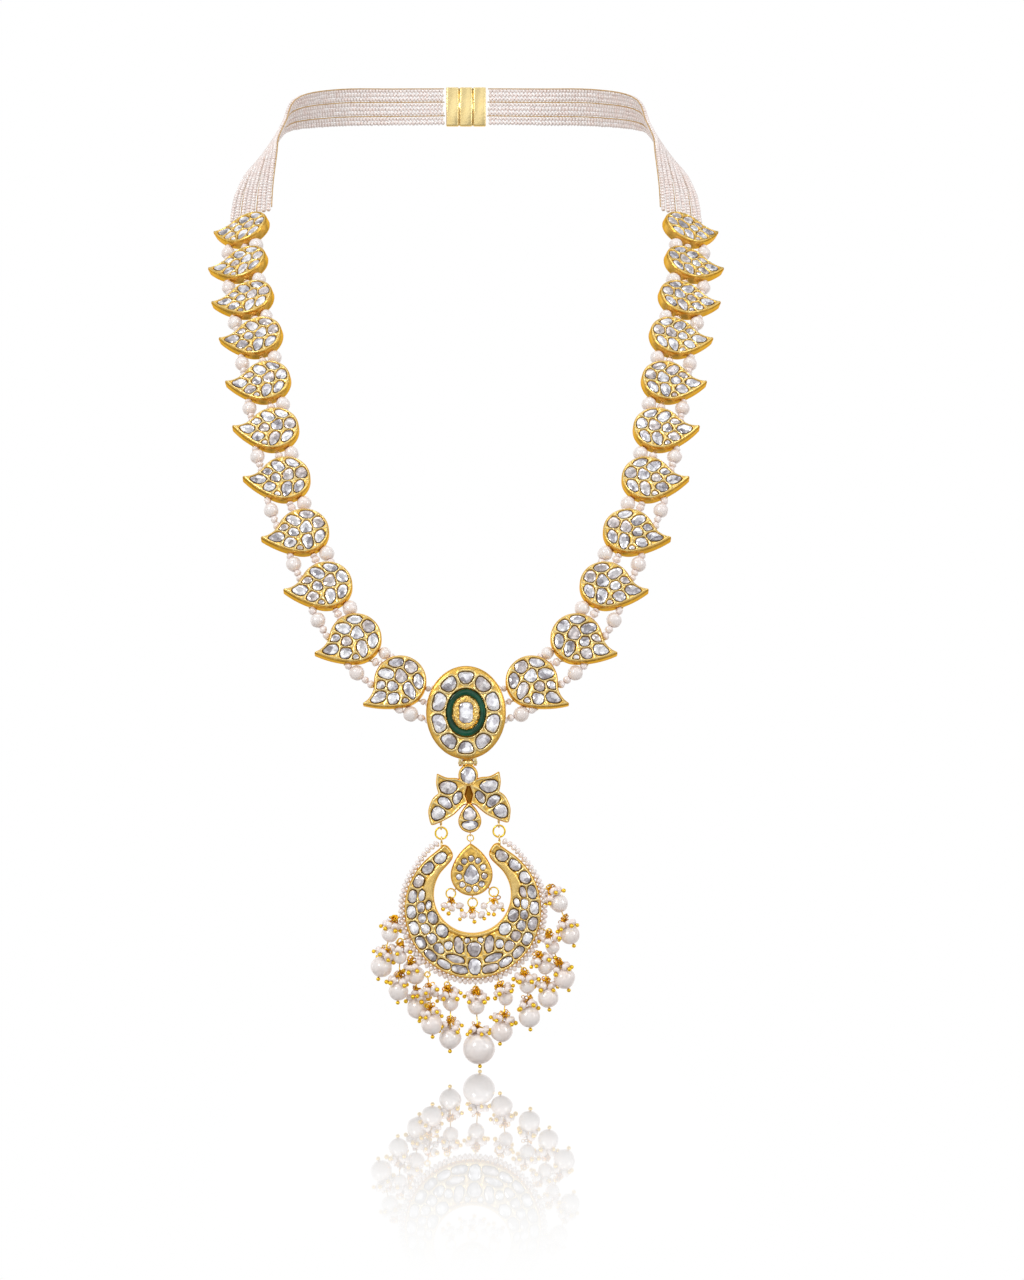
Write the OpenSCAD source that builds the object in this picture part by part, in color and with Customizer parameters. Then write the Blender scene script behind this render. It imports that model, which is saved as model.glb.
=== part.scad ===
// Long necklace of flat stones in gold: paisley links, an oval centre, a hung crescent and a pearl fringe.
// The origin is where the back of the necklace rests on the nape. The front faces -Y and +Z is up.

/* [Wearing] */
// Drop from the nape to the centre of the oval piece
oval_drop = 262; // [258:1:266]
// Reach from the nape forward to the plane of the hanging pieces
reach = 228; // [226:1:230]
// Lean of the hanging pieces towards +X, in degrees
lean = 2; // [0:0.5:3]

/* [Paisley links] */
// Radius of the round body of a link
body_r = 9.4; // [9:0.1:9.6]
// Thickness of a link
link_t = 4.6; // [4.4:0.1:5]
// Diameter of the pearls between the links
spacer_d = 5; // [4:0.1:5.2]
// Diameter of the small beads between the links
bead_d = 2.6; // [2:0.1:3]
// Diameter of the stringing threads
thread_d = 0.6; // [0.4:0.1:0.8]
// Diameter of the channels that the threads run through
channel_d = 1.3; // [1.1:0.1:1.4]

/* [Stones] */
// Gap between a stone and its cell
stone_gap = 0.12; // [0.1:0.01:0.15]
// Size of the table of a stone, as a share of its outline
table = 0.62; // [0.5:0.02:0.8]
// Height of the table over the gold
table_rise = 0.3; // [0.1:0.1:0.5]
// Depth of the cells under the front of the gold
cell_depth = 1; // [0.8:0.1:1.2]
// Thickness of the foil under the stones
foil_t = 0.3; // [0.2:0.05:0.3]

/* [Seed pearl bands] */
// Width of the band of strands
band_w = 16; // [14:0.5:17]
// Thickness of the band of strands
band_t = 2.2; // [1.8:0.1:2.4]
// Width of the plain clasp on the nape, along X
clasp_w = 18; // [16:0.5:18.5]
// Thickness of the clasp
clasp_t = 2.8; // [2.5:0.1:3.5]

/* [Oval piece] */
// Half width of the oval piece
oval_a = 14.3; // [14:0.1:14.6]
// Half height of the oval piece
oval_b = 16.7; // [16.4:0.1:17]
// Thickness of the oval piece
oval_t = 5; // [4.8:0.1:5.4]

/* [Hanging pieces] */
// Thickness of the winged connector
wing_t = 3; // [2.8:0.1:3.2]
// Outer radius of the crescent
moon_r = 24.6; // [24.2:0.1:24.8]
// Radius of the opening of the crescent
moon_hole_r = 13.9; // [13.6:0.1:14]
// Thickness of the crescent
moon_t = 4.4; // [4.2:0.1:4.8]
// Radius of the round part of the inner drop
drop_r = 7.5; // [7.2:0.1:7.6]
// Thickness of the inner drop
drop_t = 4; // [3.8:0.1:4.4]

/* [Rings and fringe] */
// Middle radius of the two large jump rings
jump_r = 2.1; // [2:0.05:2.2]
// Thickness of the wire of the large jump rings
jump_wire = 0.6; // [0.5:0.05:0.6]
// Middle radius of the rings that carry the fringe
hook_r = 0.95; // [0.9:0.05:1]
// Thickness of fine gold wire
wire_d = 0.4; // [0.3:0.05:0.4]
// Diameter of a seed pearl
seed_d = 1.9; // [1.8:0.05:1.9]
// Diameter of the gold ball under each string of the fringe
ball_d = 1.5; // [1.2:0.1:1.6]

/* [Hidden] */
$fn = 48;
gold = "goldenrod";
stone = "lightsteelblue";
pearl = "mistyrose";

// Set gold: height and inset of the step round the front, overlap of joined slabs, insets of pocket and foil
step_h = 0.7;
step_in = 0.5;
lap = 0.1;
pocket_in = 1.15;
foil_in = 1.35;
pocket_deep = 0.25;
stone_sink = 0.15;
stone_lift = 0.2;
cell_top = 2;
bore_gap = 0.3;

// Each link, from the shoulder down: x, height over the oval's centre, lean back, turn outward, roll
LINKS = [
    [-91, 193, 43, 34, 17],
    [-90.5, 176.5, 42, 28, 22],
    [-87, 160.5, 40, 20, 20],
    [-82.5, 144, 35, 15, 16],
    [-78.5, 125.5, 33, 9, 14],
    [-74.5, 106.5, 31, 3, 9],
    [-69.5, 87, 29, 0, 11],
    [-62, 66.5, 28, 0, 23],
    [-53, 46.5, 25, 0, 20],
    [-42, 26.5, 19, 0, 34],
    [-25.5, 10.5, 13, 0, 45]
];
link_n = len(LINKS);
tail_tip = [-14.8, 3.6];
tail_from = 235;
tail_to = 488;
link_mid = [-2, 0.5];
// Channels of a link: place across it, where they come out below and above
CHANNELS = [[-8, -5.6, 5.9], [0, -9.4, 9.4], [4.8, -8.1, 8.1]];
channel_w = -3.35;
// Where the three threads of the left side end in the oval: x, height over its centre
OVAL_ENDS = [[-12.6, -3.2], [-12.8, 3], [-10.3, 8.4]];
oval_end_w = -1.2;
mouth = 0.35;
// Last pearl of each thread before the oval: diameter, share of the way
LAST_SPACERS = [[5.5, 0.57], [2.4, 0.62], [2.1, 0.77]];
// Pearls that are smaller because their gap is tight: link above, thread, diameter
TIGHT_SPACERS = [[2, 2, 4.6], [9, 2, 4.4]];

// Stones of a link: x, y, length, width, turn, swell towards one end
LINK_STONES = [
    [3.7, 6, 4.6, 2.7, -35, 0],
    [-1.9, 5.4, 5.4, 3.1, -50, 0.25],
    [6.3, 1, 4, 3.8, 20, 0],
    [4.5, -4.7, 4.6, 2.9, 52, 0],
    [1.4, 1, 4.3, 3.8, 65, -0.2],
    [-3.6, 0.3, 3.4, 3, 40, 0.2],
    [-6.7, 4.1, 3.8, 2.2, -15, 0.2],
    [-10, 1.2, 5, 3.2, -25, 0.25],
    [-6.4, -3.1, 4.4, 3.2, 35, 0.2],
    [-0.2, -5, 5.6, 3.1, 68, 0.2],
    [-4, -6.6, 1.8, 1.8, 0, 0]
];
// Stones of the oval: one of the ring of ten, and the centre stone
oval_ring_n = 10;
OVAL_RING = [10.7, 12.9, 4.8, 3.5];
CENTRE_STONE = [0, 0, 5.6, 7.2, 0, 0];
// Stones of the connector, left half, then those on its middle line
WING_STONES = [
    [-7.3, -26.6, 5.2, 3, -15, 0.1],
    [-3.9, -30.2, 3.2, 1.9, 62, 0.1],
    [-8.5, -32.3, 3.6, 2.5, -38, 0],
    [-11.2, -35.6, 3.8, 3.2, 40, 0.1]
];
MIDDLE_STONES = [
    [0, -22.7, 5.2, 4.2, 90, 0],
    [0, -36.2, 3.6, 3.2, 270, 0.2],
    [0, -40.4, 5, 2.9, 0, 0]
];
// Stones of the crescent about its centre: the even outer row, then the rest of the left half
moon_row_n = 21;
MOON_ROW = [22.2, 120, 15, 3.9, 3.3];
MOON_HALF = [
    [-18.4, 5.6, 3.6, 2, 75, 0],
    [-18.7, 1.6, 3.4, 2.3, 86, 0],
    [-18.4, -2.3, 3.1, 2.3, 98, 0],
    [-17.3, -6.1, 3.2, 2.6, 112, 0],
    [-15.2, -9.8, 3.2, 2.8, 125, 0],
    [-12.6, -13.3, 3.4, 2.8, 140, 0],
    [-6.9, -17.4, 5.2, 2.2, -18, 0],
    [-15.9, 2.2, 2.6, 1.6, 75, 0],
    [-14.5, -2.3, 3.6, 2.9, 105, 0],
    [-11.3, -7.1, 3.7, 3.2, 125, 0],
    [-9.3, -12.5, 2.7, 2.4, 30, 0],
    [-5.5, -12.5, 5, 2.6, 98, 0],
    [-2.4, -10.9, 1.6, 1.5, 0, 0]
];
MOON_MIDDLE = [[0, -14.2, 4.6, 3.9, 270, 0.3]];
// Stones of the drop about its centre: the pear, then the even ring of small round ones
DROP_PEAR = [0, 0.3, 6.2, 5, 270, 0.15];
drop_ring_n = 11;
DROP_RING = [4.6, 5.6, 1.9];

// Strings of the fringe: angle on the crescent, upper pearl x, z, radius, lower pearl x, z, radius, depth
STRINGS = [
    [184, -30.1, -78.7, 3, -33.6, -90.4, 3.8, 0],
    [201.5, -26.8, -87.2, 2.4, -27.8, -99.2, 3.4, 1],
    [216, -21.4, -94.1, 3.2, -20.9, -106, 4.1, -2.4],
    [233, -16.6, -99.8, 0, -16.2, -111.3, 3.7, 3.2],
    [249, -9.2, -104.4, 2.8, -9.8, -117, 3.9, 0],
    [270, 0, -105.8, 3, 0.4, -121, 5.65, 0],
    [288, 10.7, -103.4, 2.6, 8.8, -115.2, 3.8, -0.5],
    [308, 18.6, -99.2, 2.7, 19, -110.2, 3.8, 0.5],
    [324, 25.3, -92.6, 2.7, 26, -103.6, 3.7, -0.5],
    [342, 28.2, -85.6, 2.4, 32, -96.8, 3.8, 0.5],
    [14, 31, -69.8, 3.3, 34.6, -81.2, 3.5, 0]
];
string_n = len(STRINGS);
cluster_n = 6;
cluster_r = 1.65;
wire_joint_d = 0.9;
fine_eye_r = 0.55;
ring_gap = 0.1;

// Route of the left band from the nape to the first link: x, y, z, turn outward and lean back of its face
BAND = [
    [-9.5, 1.3, 0, 180, 0],
    [-33, -3, -1, 157, 4],
    [-56, -17, -4, 132, 12],
    [-73.8, -39, -10.9, 105, 25],
    [-79, -52, -21.4, 90, 33],
    [-83.5, -64, -31.2, 76, 38],
    [-85.2, -76, -38.9, 58, 42],
    [-87.1, -90, -51.5, 42, 43]
];
band_step = 4;
band_start_gap = 0.3;
band_foot_at = [-0.6, 2.4];
clasp_over = 0.5;
groove_w = 0.4;

// Heights of the hanging pieces under the oval's centre
hinge_v = -18.1;
collet_v = -22.7;
cheek_r = 1.2;
cheek_in = 2.15;
cheek_t = 1.1;
pin_d = 1.1;
barrel_d = 2.4;
moon_v = -71;
moon_hole_v = 5.4;
moon_field_v = 5.8;
moon_field_r = 15.4;
moon_tip = [10.2, 24];
moon_corner = [6.4, 19.4];
eye_u = 10.4;
eye_v = -40.8;
eye_r = 0.9;
jump_clear = 0.1;
drop_v = -58.4;
drop_tip = [0, 11.2];
small_eye_r = 0.6;
small_link_r = 1.15;
fine_clear = 0.05;
small_eye_v = -43.9;
hook_out = 28.5;
drop_hook_r = 1.7;
drop_hook_out = 10.1;
drop_hook_angles = [220, 270, 320];
border_out = 25.75;
border_turn = 294;

// Places of a vector turned about X and Z, as rotate() turns a shape
function turn_x(a, p) = [p.x, p.y * cos(a) - p.z * sin(a), p.y * sin(a) + p.z * cos(a)];
function turn_z(a, p) = [p.x * cos(a) - p.y * sin(a), p.x * sin(a) + p.y * cos(a), p.z];
function unit(v) = v / norm(v);

// Depth of a link behind the hanging plane: each link lies in the plane of its neighbours
function step_depth(i) = let (
    a = LINKS[i], b = LINKS[i + 1],
    back = (a[2] + b[2]) / 2, out = (a[3] + b[3]) / 2
) tan(back) / cos(out) * (a[1] - b[1]) - tan(out) * (a[0] - b[0]);
function link_depth(i) = i == link_n - 1 ? 0.5 : link_depth(i + 1) + step_depth(i);
function link_at(i) = [LINKS[i][0], link_depth(i) - reach, LINKS[i][1] - oval_drop];
// A point of a link's own plane, on the left side
function spot(i, u, v, w) = link_at(i)
    + turn_z(-LINKS[i][3], turn_x(90 - LINKS[i][2], turn_z(LINKS[i][4], [u - link_mid.x, v - link_mid.y, w])));
function hang(u, v, w) = [u, -reach - w, v - oval_drop];

// Outlines
function arc(c, r, a, b, n) = [for (k = [0:n]) c + r * [cos(a + (b - a) * k / n), sin(a + (b - a) * k / n)]];
function near(a, b) = b + 360 * round((a - b) / 360);
function back(v) = [for (k = [len(v) - 1:-1:0]) v[k]];
function rest(v) = [for (k = [1:1:len(v) - 1]) v[k]];
// Arc that leaves a circle of radius r at angle a and ends at a tip, bulging out or in as it must
function side(r, a, tip, n) = let (
    p = r * [cos(a), sin(a)], d = tip - p,
    bend = -(d * d) / (2 * (d * p) / r), c = p - bend * p / r,
    b0 = atan2(p.y - c.y, p.x - c.x)
) arc(c, abs(bend), b0, near(b0, atan2(tip.y - c.y, tip.x - c.x)), n);
function tear(r, tip, a, b, n, m) = concat(
    arc([0, 0], r, a, b, n), rest(side(r, b, tip, m)), rest(back(rest(side(r, a, tip, m))))
);
function tail_end(in) = tail_tip * (1 - 1.9 * in / norm(tail_tip));
function paisley(in, n = 8, m = 2) = tear(body_r - in, tail_end(in), tail_from, tail_to, n, m);
function pear(r, h, in) = tear(r - in, [0, h - 1.6 * in], 160, 380, 24, 6);
// The tail alone, from just inside the round body
function tail(in) = let (
    r = body_r - in, low = side(r, tail_from, tail_end(in), 5), high = side(r, tail_to, tail_end(in), 5)
) concat([[0, 0], 0.97 * low[0]], rest(low), [for (k = [4:-1:1]) high[k]], [0.97 * high[0]]);
function ellipse(a, b, n = 36) = [for (k = [0:n - 1]) [a * cos(360 * k / n), b * sin(360 * k / n)]];
// Eight-sided outline of a stone, one end wider than the other
function gem(s, grow) = [for (k = [0:7]) let (
    t = 22.5 + 45 * k,
    x = (s[2] / 2 + grow) * cos(t) / cos(22.5),
    y = (s[3] / 2 + grow) * sin(t) / cos(22.5) * (1 + s[5] * cos(t))
) [s[0] + x * cos(s[4]) - y * sin(s[4]), s[1] + x * sin(s[4]) + y * cos(s[4])]];
function mirrored(rows) = [for (s = rows) [-s[0], s[1], s[2], s[3], 180 - s[4], s[5]]];
// Smooth curve through a few points
function bend(a, b, c, d, t) = 0.5 * (2 * b + (c - a) * t + (2 * a - 5 * b + 4 * c - d) * t * t
    + (3 * b - a - 3 * c + d) * t * t * t);
function curve(v, n) = concat([for (i = [0:len(v) - 2], k = [0:n - 1]) bend(
    v[max(i - 1, 0)], v[i], v[i + 1], v[min(i + 2, len(v) - 1)], k / n)], [v[len(v) - 1]]);

// Rows of stones worked out from the tables
oval_row = [for (k = [0:oval_ring_n - 1]) let (a = 90 + 360 * k / oval_ring_n) [
    OVAL_RING[0] * cos(a), OVAL_RING[1] * sin(a), OVAL_RING[2], OVAL_RING[3], a + 90, 0]];
moon_row = [for (k = [0:moon_row_n - 1]) let (a = MOON_ROW[1] + MOON_ROW[2] * k) [
    MOON_ROW[0] * cos(a), MOON_ROW[0] * sin(a), MOON_ROW[3], MOON_ROW[4], a + 90, 0]];
moon_all = concat(moon_row, MOON_HALF, mirrored(MOON_HALF), MOON_MIDDLE);
wing_all = concat(WING_STONES, mirrored(WING_STONES), MIDDLE_STONES);
drop_row = [for (k = [0:drop_ring_n - 1]) let (a = 90 + 360 * k / drop_ring_n) [
    DROP_RING[0] * cos(a), DROP_RING[1] * sin(a) + 0.3, DROP_RING[2], DROP_RING[2], 0, 0]];
drop_all = concat([DROP_PEAR], drop_row);

module at_link(i) {
    translate(link_at(i)) rotate([90 - LINKS[i][2], 0, -LINKS[i][3]]) rotate([0, 0, LINKS[i][4]])
        translate([-link_mid.x, -link_mid.y, 0]) children();
}
module at_oval() {
    translate([0, -reach, -oval_drop]) rotate([90, 0, 0]) children();
}
module hung() {
    translate([0, -reach, -oval_drop]) rotate([0, -lean, 0]) rotate([90, 0, 0]) children();
}
module paisley_flat(in) {
    circle(r = body_r - in, $fn = 72);
    polygon(tail(in));
}
module slab(low, high) {
    translate([0, 0, low]) linear_extrude(high - low) children();
}
module torus(r, wire) {
    rotate_extrude() translate([r, 0]) circle(d = wire, $fn = 24);
}
module rod(p, q, d) {
    v = q - p;
    translate(p) rotate([0, acos(v.z / norm(v)), atan2(v.y, v.x)]) cylinder(d = d, h = norm(v));
}
module bored_ball(p, q, at, d, bore) {
    v = unit(q - p);
    translate(at) rotate([0, acos(v.z), atan2(v.y, v.x)]) difference() {
        sphere(d = d);
        cylinder(d = bore, h = 2 * d, center = true);
    }
}
// A closed skin over rings of points
module skin(rings) {
    n = len(rings[0]);
    m = len(rings);
    polyhedron([for (r = rings) each r], concat(
        [[for (k = [0:n - 1]) k]],
        [for (i = [0:m - 2], k = [0:n - 1]) let (a = i * n + k, b = i * n + (k + 1) % n)
            each [[a, a + n, b + n], [a, b + n, b]]],
        [[for (k = [n - 1:-1:0]) (m - 1) * n + k]]
    ), convexity = 6);
}
// Cells, and the shallow pocket for the foil, cut into gold whose front is at a height
module cells(rows, front, deeper = 0) {
    for (s = rows) slab(front - cell_depth - deeper, front + cell_top) polygon(gem(s, stone_gap));
}
module pocket(front) {
    slab(front - cell_depth - foil_t - pocket_deep, front - cell_depth + lap / 2) children();
}
module foil(front) {
    slab(front - cell_depth - foil_t - lap, front - cell_depth - lap) children();
}
module stones(rows, front) {
    for (s = rows) skin([
        [for (p = gem(s, 0)) [p.x, p.y, front - cell_depth - stone_sink]],
        [for (p = gem(s, 0)) let (c = [s[0], s[1]], q = c + table * (p - c)) [q.x, q.y, front + table_rise]]
    ]);
}
// An eye seen edge on, in the plane of a direction and the depth
module eye(a, out, r, wire, root) {
    rotate([0, 0, a]) {
        translate([out, 0, 0]) rotate([90, 0, 0]) torus(r, wire);
        translate([root, 0, 0]) rotate([0, 90, 0]) cylinder(d = wire * 1.4, h = out - r + wire / 4 - root);
    }
}

// Links
module link_gold(i) {
    color(gold) at_link(i) difference() {
        union() {
            slab(-link_t, -step_h) paisley_flat(0);
            slab(-step_h - lap, 0) paisley_flat(step_in);
        }
        pocket(0) paisley_flat(pocket_in);
        cells(LINK_STONES, 0, stone_sink + 0.1);
        for (c = CHANNELS) translate([c[0], c[1] - 5, channel_w]) rotate([-90, 0, 0])
            cylinder(d = channel_d, h = c[2] - c[1] + 10);
    }
}
module link_stones() {
    color(stone) for (i = [0:link_n - 1]) at_link(i) {
        foil(0) polygon(paisley(foil_in + 0.15));
        stones(LINK_STONES, 0);
    }
}
// The three threads: mouths of their channels, link by link, from the oval to the first link
function mouth_low(i, c) = spot(i, CHANNELS[c][0], CHANNELS[c][1] - mouth, channel_w);
function mouth_high(i, c) = spot(i, CHANNELS[c][0], CHANNELS[c][2] + mouth, channel_w);
function thread_start(c) = hang(OVAL_ENDS[c].x, OVAL_ENDS[c].y, oval_end_w);
function thread_path(c) = concat([thread_start(c)],
    [for (i = [link_n - 1:-1:0]) each [mouth_low(i, c), mouth_high(i, c)]]);
function thread_ring(p, t, n) = let (u = unit(cross(t, [0, 1, 0])), v = cross(t, u))
    [for (k = [0:n - 1]) p + thread_d / 2 * (cos(360 * k / n) * u + sin(360 * k / n) * v)];
module threads() {
    color("ivory") for (c = [0:2]) {
        path = thread_path(c);
        m = len(path) - 1;
        skin([for (i = [0:m]) thread_ring(path[i], unit(path[min(i + 1, m)] - path[max(i - 1, 0)]), 5)]);
    }
}
module spacers(c, d) {
    for (i = [0:link_n - 2]) {
        p = mouth_high(i + 1, c);
        q = mouth_low(i, c);
        tight = [for (s = TIGHT_SPACERS) if (s[0] == i && s[1] == c) s[2]];
        bored_ball(p, q, (p + q) / 2, len(tight) > 0 ? tight[0] : d, thread_d + bore_gap);
    }
    p = thread_start(c);
    q = mouth_low(link_n - 1, c);
    bored_ball(p, q, p + LAST_SPACERS[c][1] * (q - p), LAST_SPACERS[c][0], thread_d + bore_gap);
}
module spacer_pearls() {
    color(pearl) {
        spacers(0, spacer_d);
        spacers(2, spacer_d);
    }
}
module middle_beads() {
    color(pearl) spacers(1, bead_d);
}

// Bands of seed pearl strands
function face_way(s) = [-sin(s[3]) * cos(s[4]), -cos(s[3]) * cos(s[4]), sin(s[4])];
band_foot = spot(0, band_foot_at.x, body_r + mouth + band_start_gap, -band_foot_at.y);
band_route = concat(BAND, [[band_foot.x, band_foot.y, band_foot.z, LINKS[0][3], LINKS[0][2]]]);
band_fine = curve(band_route, band_step);
function band_point(k) = [band_fine[k][0], band_fine[k][1], band_fine[k][2]];
function band_ring(k) = let (
    last = len(band_fine) - 1,
    t = unit(band_point(max(k - 1, 0)) - band_point(min(k + 1, last))),
    n0 = face_way(band_fine[k]), n = unit(n0 - (n0 * t) * t), w = cross(t, n),
    h = band_t / 2, e = band_w / 2 - band_t / 2
) [for (p = [[e + h, 0], [e, h], [-e, h], [-e - h, 0], [-e, -h], [e, -h]])
    band_point(k) + p.x * w + p.y * n];
module seed_band() {
    color(pearl) skin([for (k = [0:len(band_fine) - 1]) band_ring(k)]);
}
module clasp() {
    color(gold) difference() {
        translate([-clasp_w / 2, 0, -band_w / 2 - clasp_over])
            cube([clasp_w, clasp_t, band_w + 2 * clasp_over]);
        for (x = [-1, 1]) translate([x * clasp_w / 6, 0, 0])
            cube([groove_w, 2 * groove_w, band_w + 4 * clasp_over], center = true);
    }
}

// Oval piece
oval_front = oval_t / 2;
oval_edge = [oval_a, oval_b];
enamel_edge = [7, 8.7];
collet_edge = [5, 6.1];
collet_rise = 0.8;
enamel_deep = 1;
enamel_gap = 0.15;
oval_field_in = 0.9;
module oval(edge, in) {
    polygon(ellipse(edge.x - in, edge.y - in));
}
// Ring between the rim and the enamel, where the stones of the oval sit
module oval_band(outer_in, inner_in) {
    difference() {
        oval(oval_edge, outer_in);
        oval(enamel_edge, inner_in);
    }
}
module oval_frame() {
    color(gold) {
        at_oval() difference() {
            union() {
                slab(-oval_front, oval_front - step_h) oval(oval_edge, 0);
                slab(oval_front - step_h - lap, oval_front) oval(oval_edge, step_in);
                slab(oval_front - lap, oval_front + collet_rise) oval(collet_edge, 0);
            }
            pocket(oval_front) oval_band(pocket_in, -oval_field_in);
            cells(oval_row, oval_front);
            slab(oval_front - enamel_deep, oval_front + cell_top) difference() {
                oval(enamel_edge, 0);
                oval(collet_edge, -lap);
            }
            slab(oval_front + collet_rise - cell_depth - foil_t, oval_front + cell_top)
                polygon(gem(CENTRE_STONE, stone_gap));
            for (x = [0, 1], c = [0:2]) mirror([x, 0, 0]) oval_bore(c);
        }
        hung() hinge_cheeks();
    }
}
module oval_bore(c) {
    e = [OVAL_ENDS[c].x, OVAL_ENDS[c].y, oval_end_w];
    m = mouth_low(link_n - 1, c) - hang(0, 0, 0);
    rod(e - 0.4 * unit([m.x, m.z, -m.y] - e), [m.x, m.z, -m.y], channel_d);
}
// Two cheeks under the oval carry the pin of the connector
module hinge_cheeks() {
    for (x = [-1, 1]) translate([x * (cheek_in + cheek_t / 2), hinge_v, 0]) {
        rotate([0, 90, 0]) cylinder(r = cheek_r, h = cheek_t, center = true);
        translate([0, cheek_r, 0]) cube([cheek_t, 2 * cheek_r, 2 * cheek_r], center = true);
    }
    translate([0, hinge_v, 0]) rotate([0, 90, 0])
        cylinder(d = pin_d, h = 2 * cheek_in + cheek_t, center = true);
}
module oval_stones() {
    color(stone) at_oval() {
        foil(oval_front) oval_band(foil_in, -oval_field_in - 2 * lap);
        stones(oval_row, oval_front);
    }
}
module oval_enamel() {
    color("darkgreen") at_oval() slab(oval_front - enamel_deep + lap, oval_front - lap) difference() {
        oval(enamel_edge, enamel_gap);
        oval(collet_edge, -lap - enamel_gap);
    }
}
module oval_centre_stone() {
    color(stone) at_oval() translate([0, 0, lap / 2]) stones([CENTRE_STONE], oval_front + collet_rise);
}

// Winged connector
wing_tip_up = [-11.1, -21.6];
wing_tip_low = [-14, -39.9];
wing_notch = [-10.8, -28.8];
wing_rise = 0.3;
function wing() = concat(
    curve([wing_tip_up, [-7.6, -23.4], [-4, -23.6], [0.3, -25.4]], 4),
    curve([[0.3, -31.4], [-1.8, -31.9], [-4.3, -35.6], [-9, -38.7], wing_tip_low], 4),
    rest(curve([wing_tip_low, [-14.7, -35], [-13.1, -30.7], wing_notch], 4)),
    rest(curve([wing_notch, [-11.5, -25.4], [-11.2, -22]], 3))
);
module connector() {
    front = wing_t / 2;
    color(gold) hung() difference() {
        union() {
            for (x = [0, 1]) mirror([x, 0, 0]) {
                slab(-front, front) polygon(wing());
                translate([-eye_u, eye_v, 0]) rotate([0, 90, 0]) torus(eye_r, jump_wire);
                translate([-eye_u, eye_v + eye_r - 0.15, 0]) rotate([-90, 0, 0]) cylinder(d = 0.9, h = 1.6);
            }
            translate([0, collet_v, 0]) slab(-front, front + wing_rise) polygon(ellipse(3.5, 3.9));
            translate([0, -39.1, 0]) slab(-front, front + wing_rise) polygon(pear(4.1, 6.8, 0));
            translate([0, -39.1, 0]) slab(-front, front) translate([-0.8, 4]) square([1.6, 6]);
            translate([0, hinge_v, 0]) rotate([0, 90, 0]) cylinder(d = barrel_d, h = 3.9, center = true);
            translate([0, hinge_v - 1.4, 0]) cube([2.6, 2, 2], center = true);
            translate([0, small_eye_v, 0]) rotate([0, 90, 0]) torus(small_eye_r, wire_d);
        }
        translate([0, hinge_v, 0]) rotate([0, 90, 0]) cylinder(d = pin_d + 0.15, h = 8, center = true);
        cells(concat(WING_STONES, mirrored(WING_STONES)), front);
        cells(MIDDLE_STONES, front + wing_rise);
    }
}
module connector_stones() {
    front = wing_t / 2;
    color(stone) hung() {
        translate([0, 0, stone_lift]) stones(concat(WING_STONES, mirrored(WING_STONES)), front);
        translate([0, 0, stone_lift]) stones(MIDDLE_STONES, front + wing_rise);
    }
}

// Crescent with its two jump rings
ring_v = eye_v - eye_r + jump_wire + jump_clear - jump_r;
moon_eye_v = ring_v - jump_r - eye_r + jump_wire + jump_clear;
module jump_ring(side) {
    color(gold) hung() translate([side * eye_u, ring_v, 0]) torus(jump_r, jump_wire);
}
module moon_flat(in, hole_r, hole_v) {
    difference() {
        union() {
            circle(r = moon_r - in);
            for (x = [0, 1]) mirror([x, 0]) polygon([
                [-moon_tip.x - 3, 21.2 - in], [-moon_tip.x + in * 0.4, moon_tip.y - in * 1.6],
                [-moon_corner.x - in, moon_corner.y - in * 0.5],
                [-moon_hole_r + 4, 15], [-moon_tip.x - 4, 17]]);
        }
        translate([0, hole_v]) circle(r = hole_r);
        polygon([
            [-moon_corner.x - in, moon_corner.y - in * 0.5], [-moon_tip.x + in, moon_tip.y], [-9, 30],
            [9, 30], [moon_tip.x - in, moon_tip.y], [moon_corner.x + in, moon_corner.y - in * 0.5],
            [9.5 + in, 15.2], [0, 12], [-9.5 - in, 15.2]]);
    }
}
module crescent() {
    front = moon_t / 2;
    color(gold) hung() translate([0, moon_v, 0]) difference() {
        union() {
            slab(-front, front - step_h) moon_flat(0, moon_hole_r, moon_hole_v);
            slab(front - step_h - lap, front) moon_flat(step_in, moon_field_r, moon_field_v);
            for (x = [-1, 1]) translate([x * eye_u, moon_eye_v - moon_v, 0]) {
                rotate([0, 90, 0]) torus(eye_r, jump_wire);
                translate([0, -eye_r + 0.15, 0]) rotate([90, 0, 0]) cylinder(d = 0.9, h = 2.6);
            }
            for (s = STRINGS) eye(s[0], hook_out - hook_r - ring_gap, fine_eye_r, wire_d, moon_r - 1);
        }
        pocket(front) moon_flat(pocket_in, moon_field_r + step_in, moon_field_v);
        cells(moon_all, front, stone_sink + 0.1);
    }
}
module crescent_stones() {
    front = moon_t / 2;
    color(stone) hung() translate([0, moon_v, 0]) {
        foil(front) moon_flat(foil_in, moon_field_r + step_in + 2 * lap, moon_field_v, $fn = 36);
        stones(moon_all, front);
    }
}
// Seed pearls along the rim, as one round bead, pierced where the fringe is hooked on
module seed_border() {
    color(pearl) hung() translate([0, moon_v, 0]) difference() {
        rotate([0, 0, 270 - border_turn / 2]) rotate_extrude(angle = border_turn)
            translate([border_out, 0]) circle(d = seed_d, $fn = 24);
        for (s = STRINGS) rotate([0, 0, s[0]]) translate([moon_r - 1, 0, 0]) rotate([0, 90, 0])
            cylinder(d = wire_d * 1.4 + 0.4, h = 5);
    }
}

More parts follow.
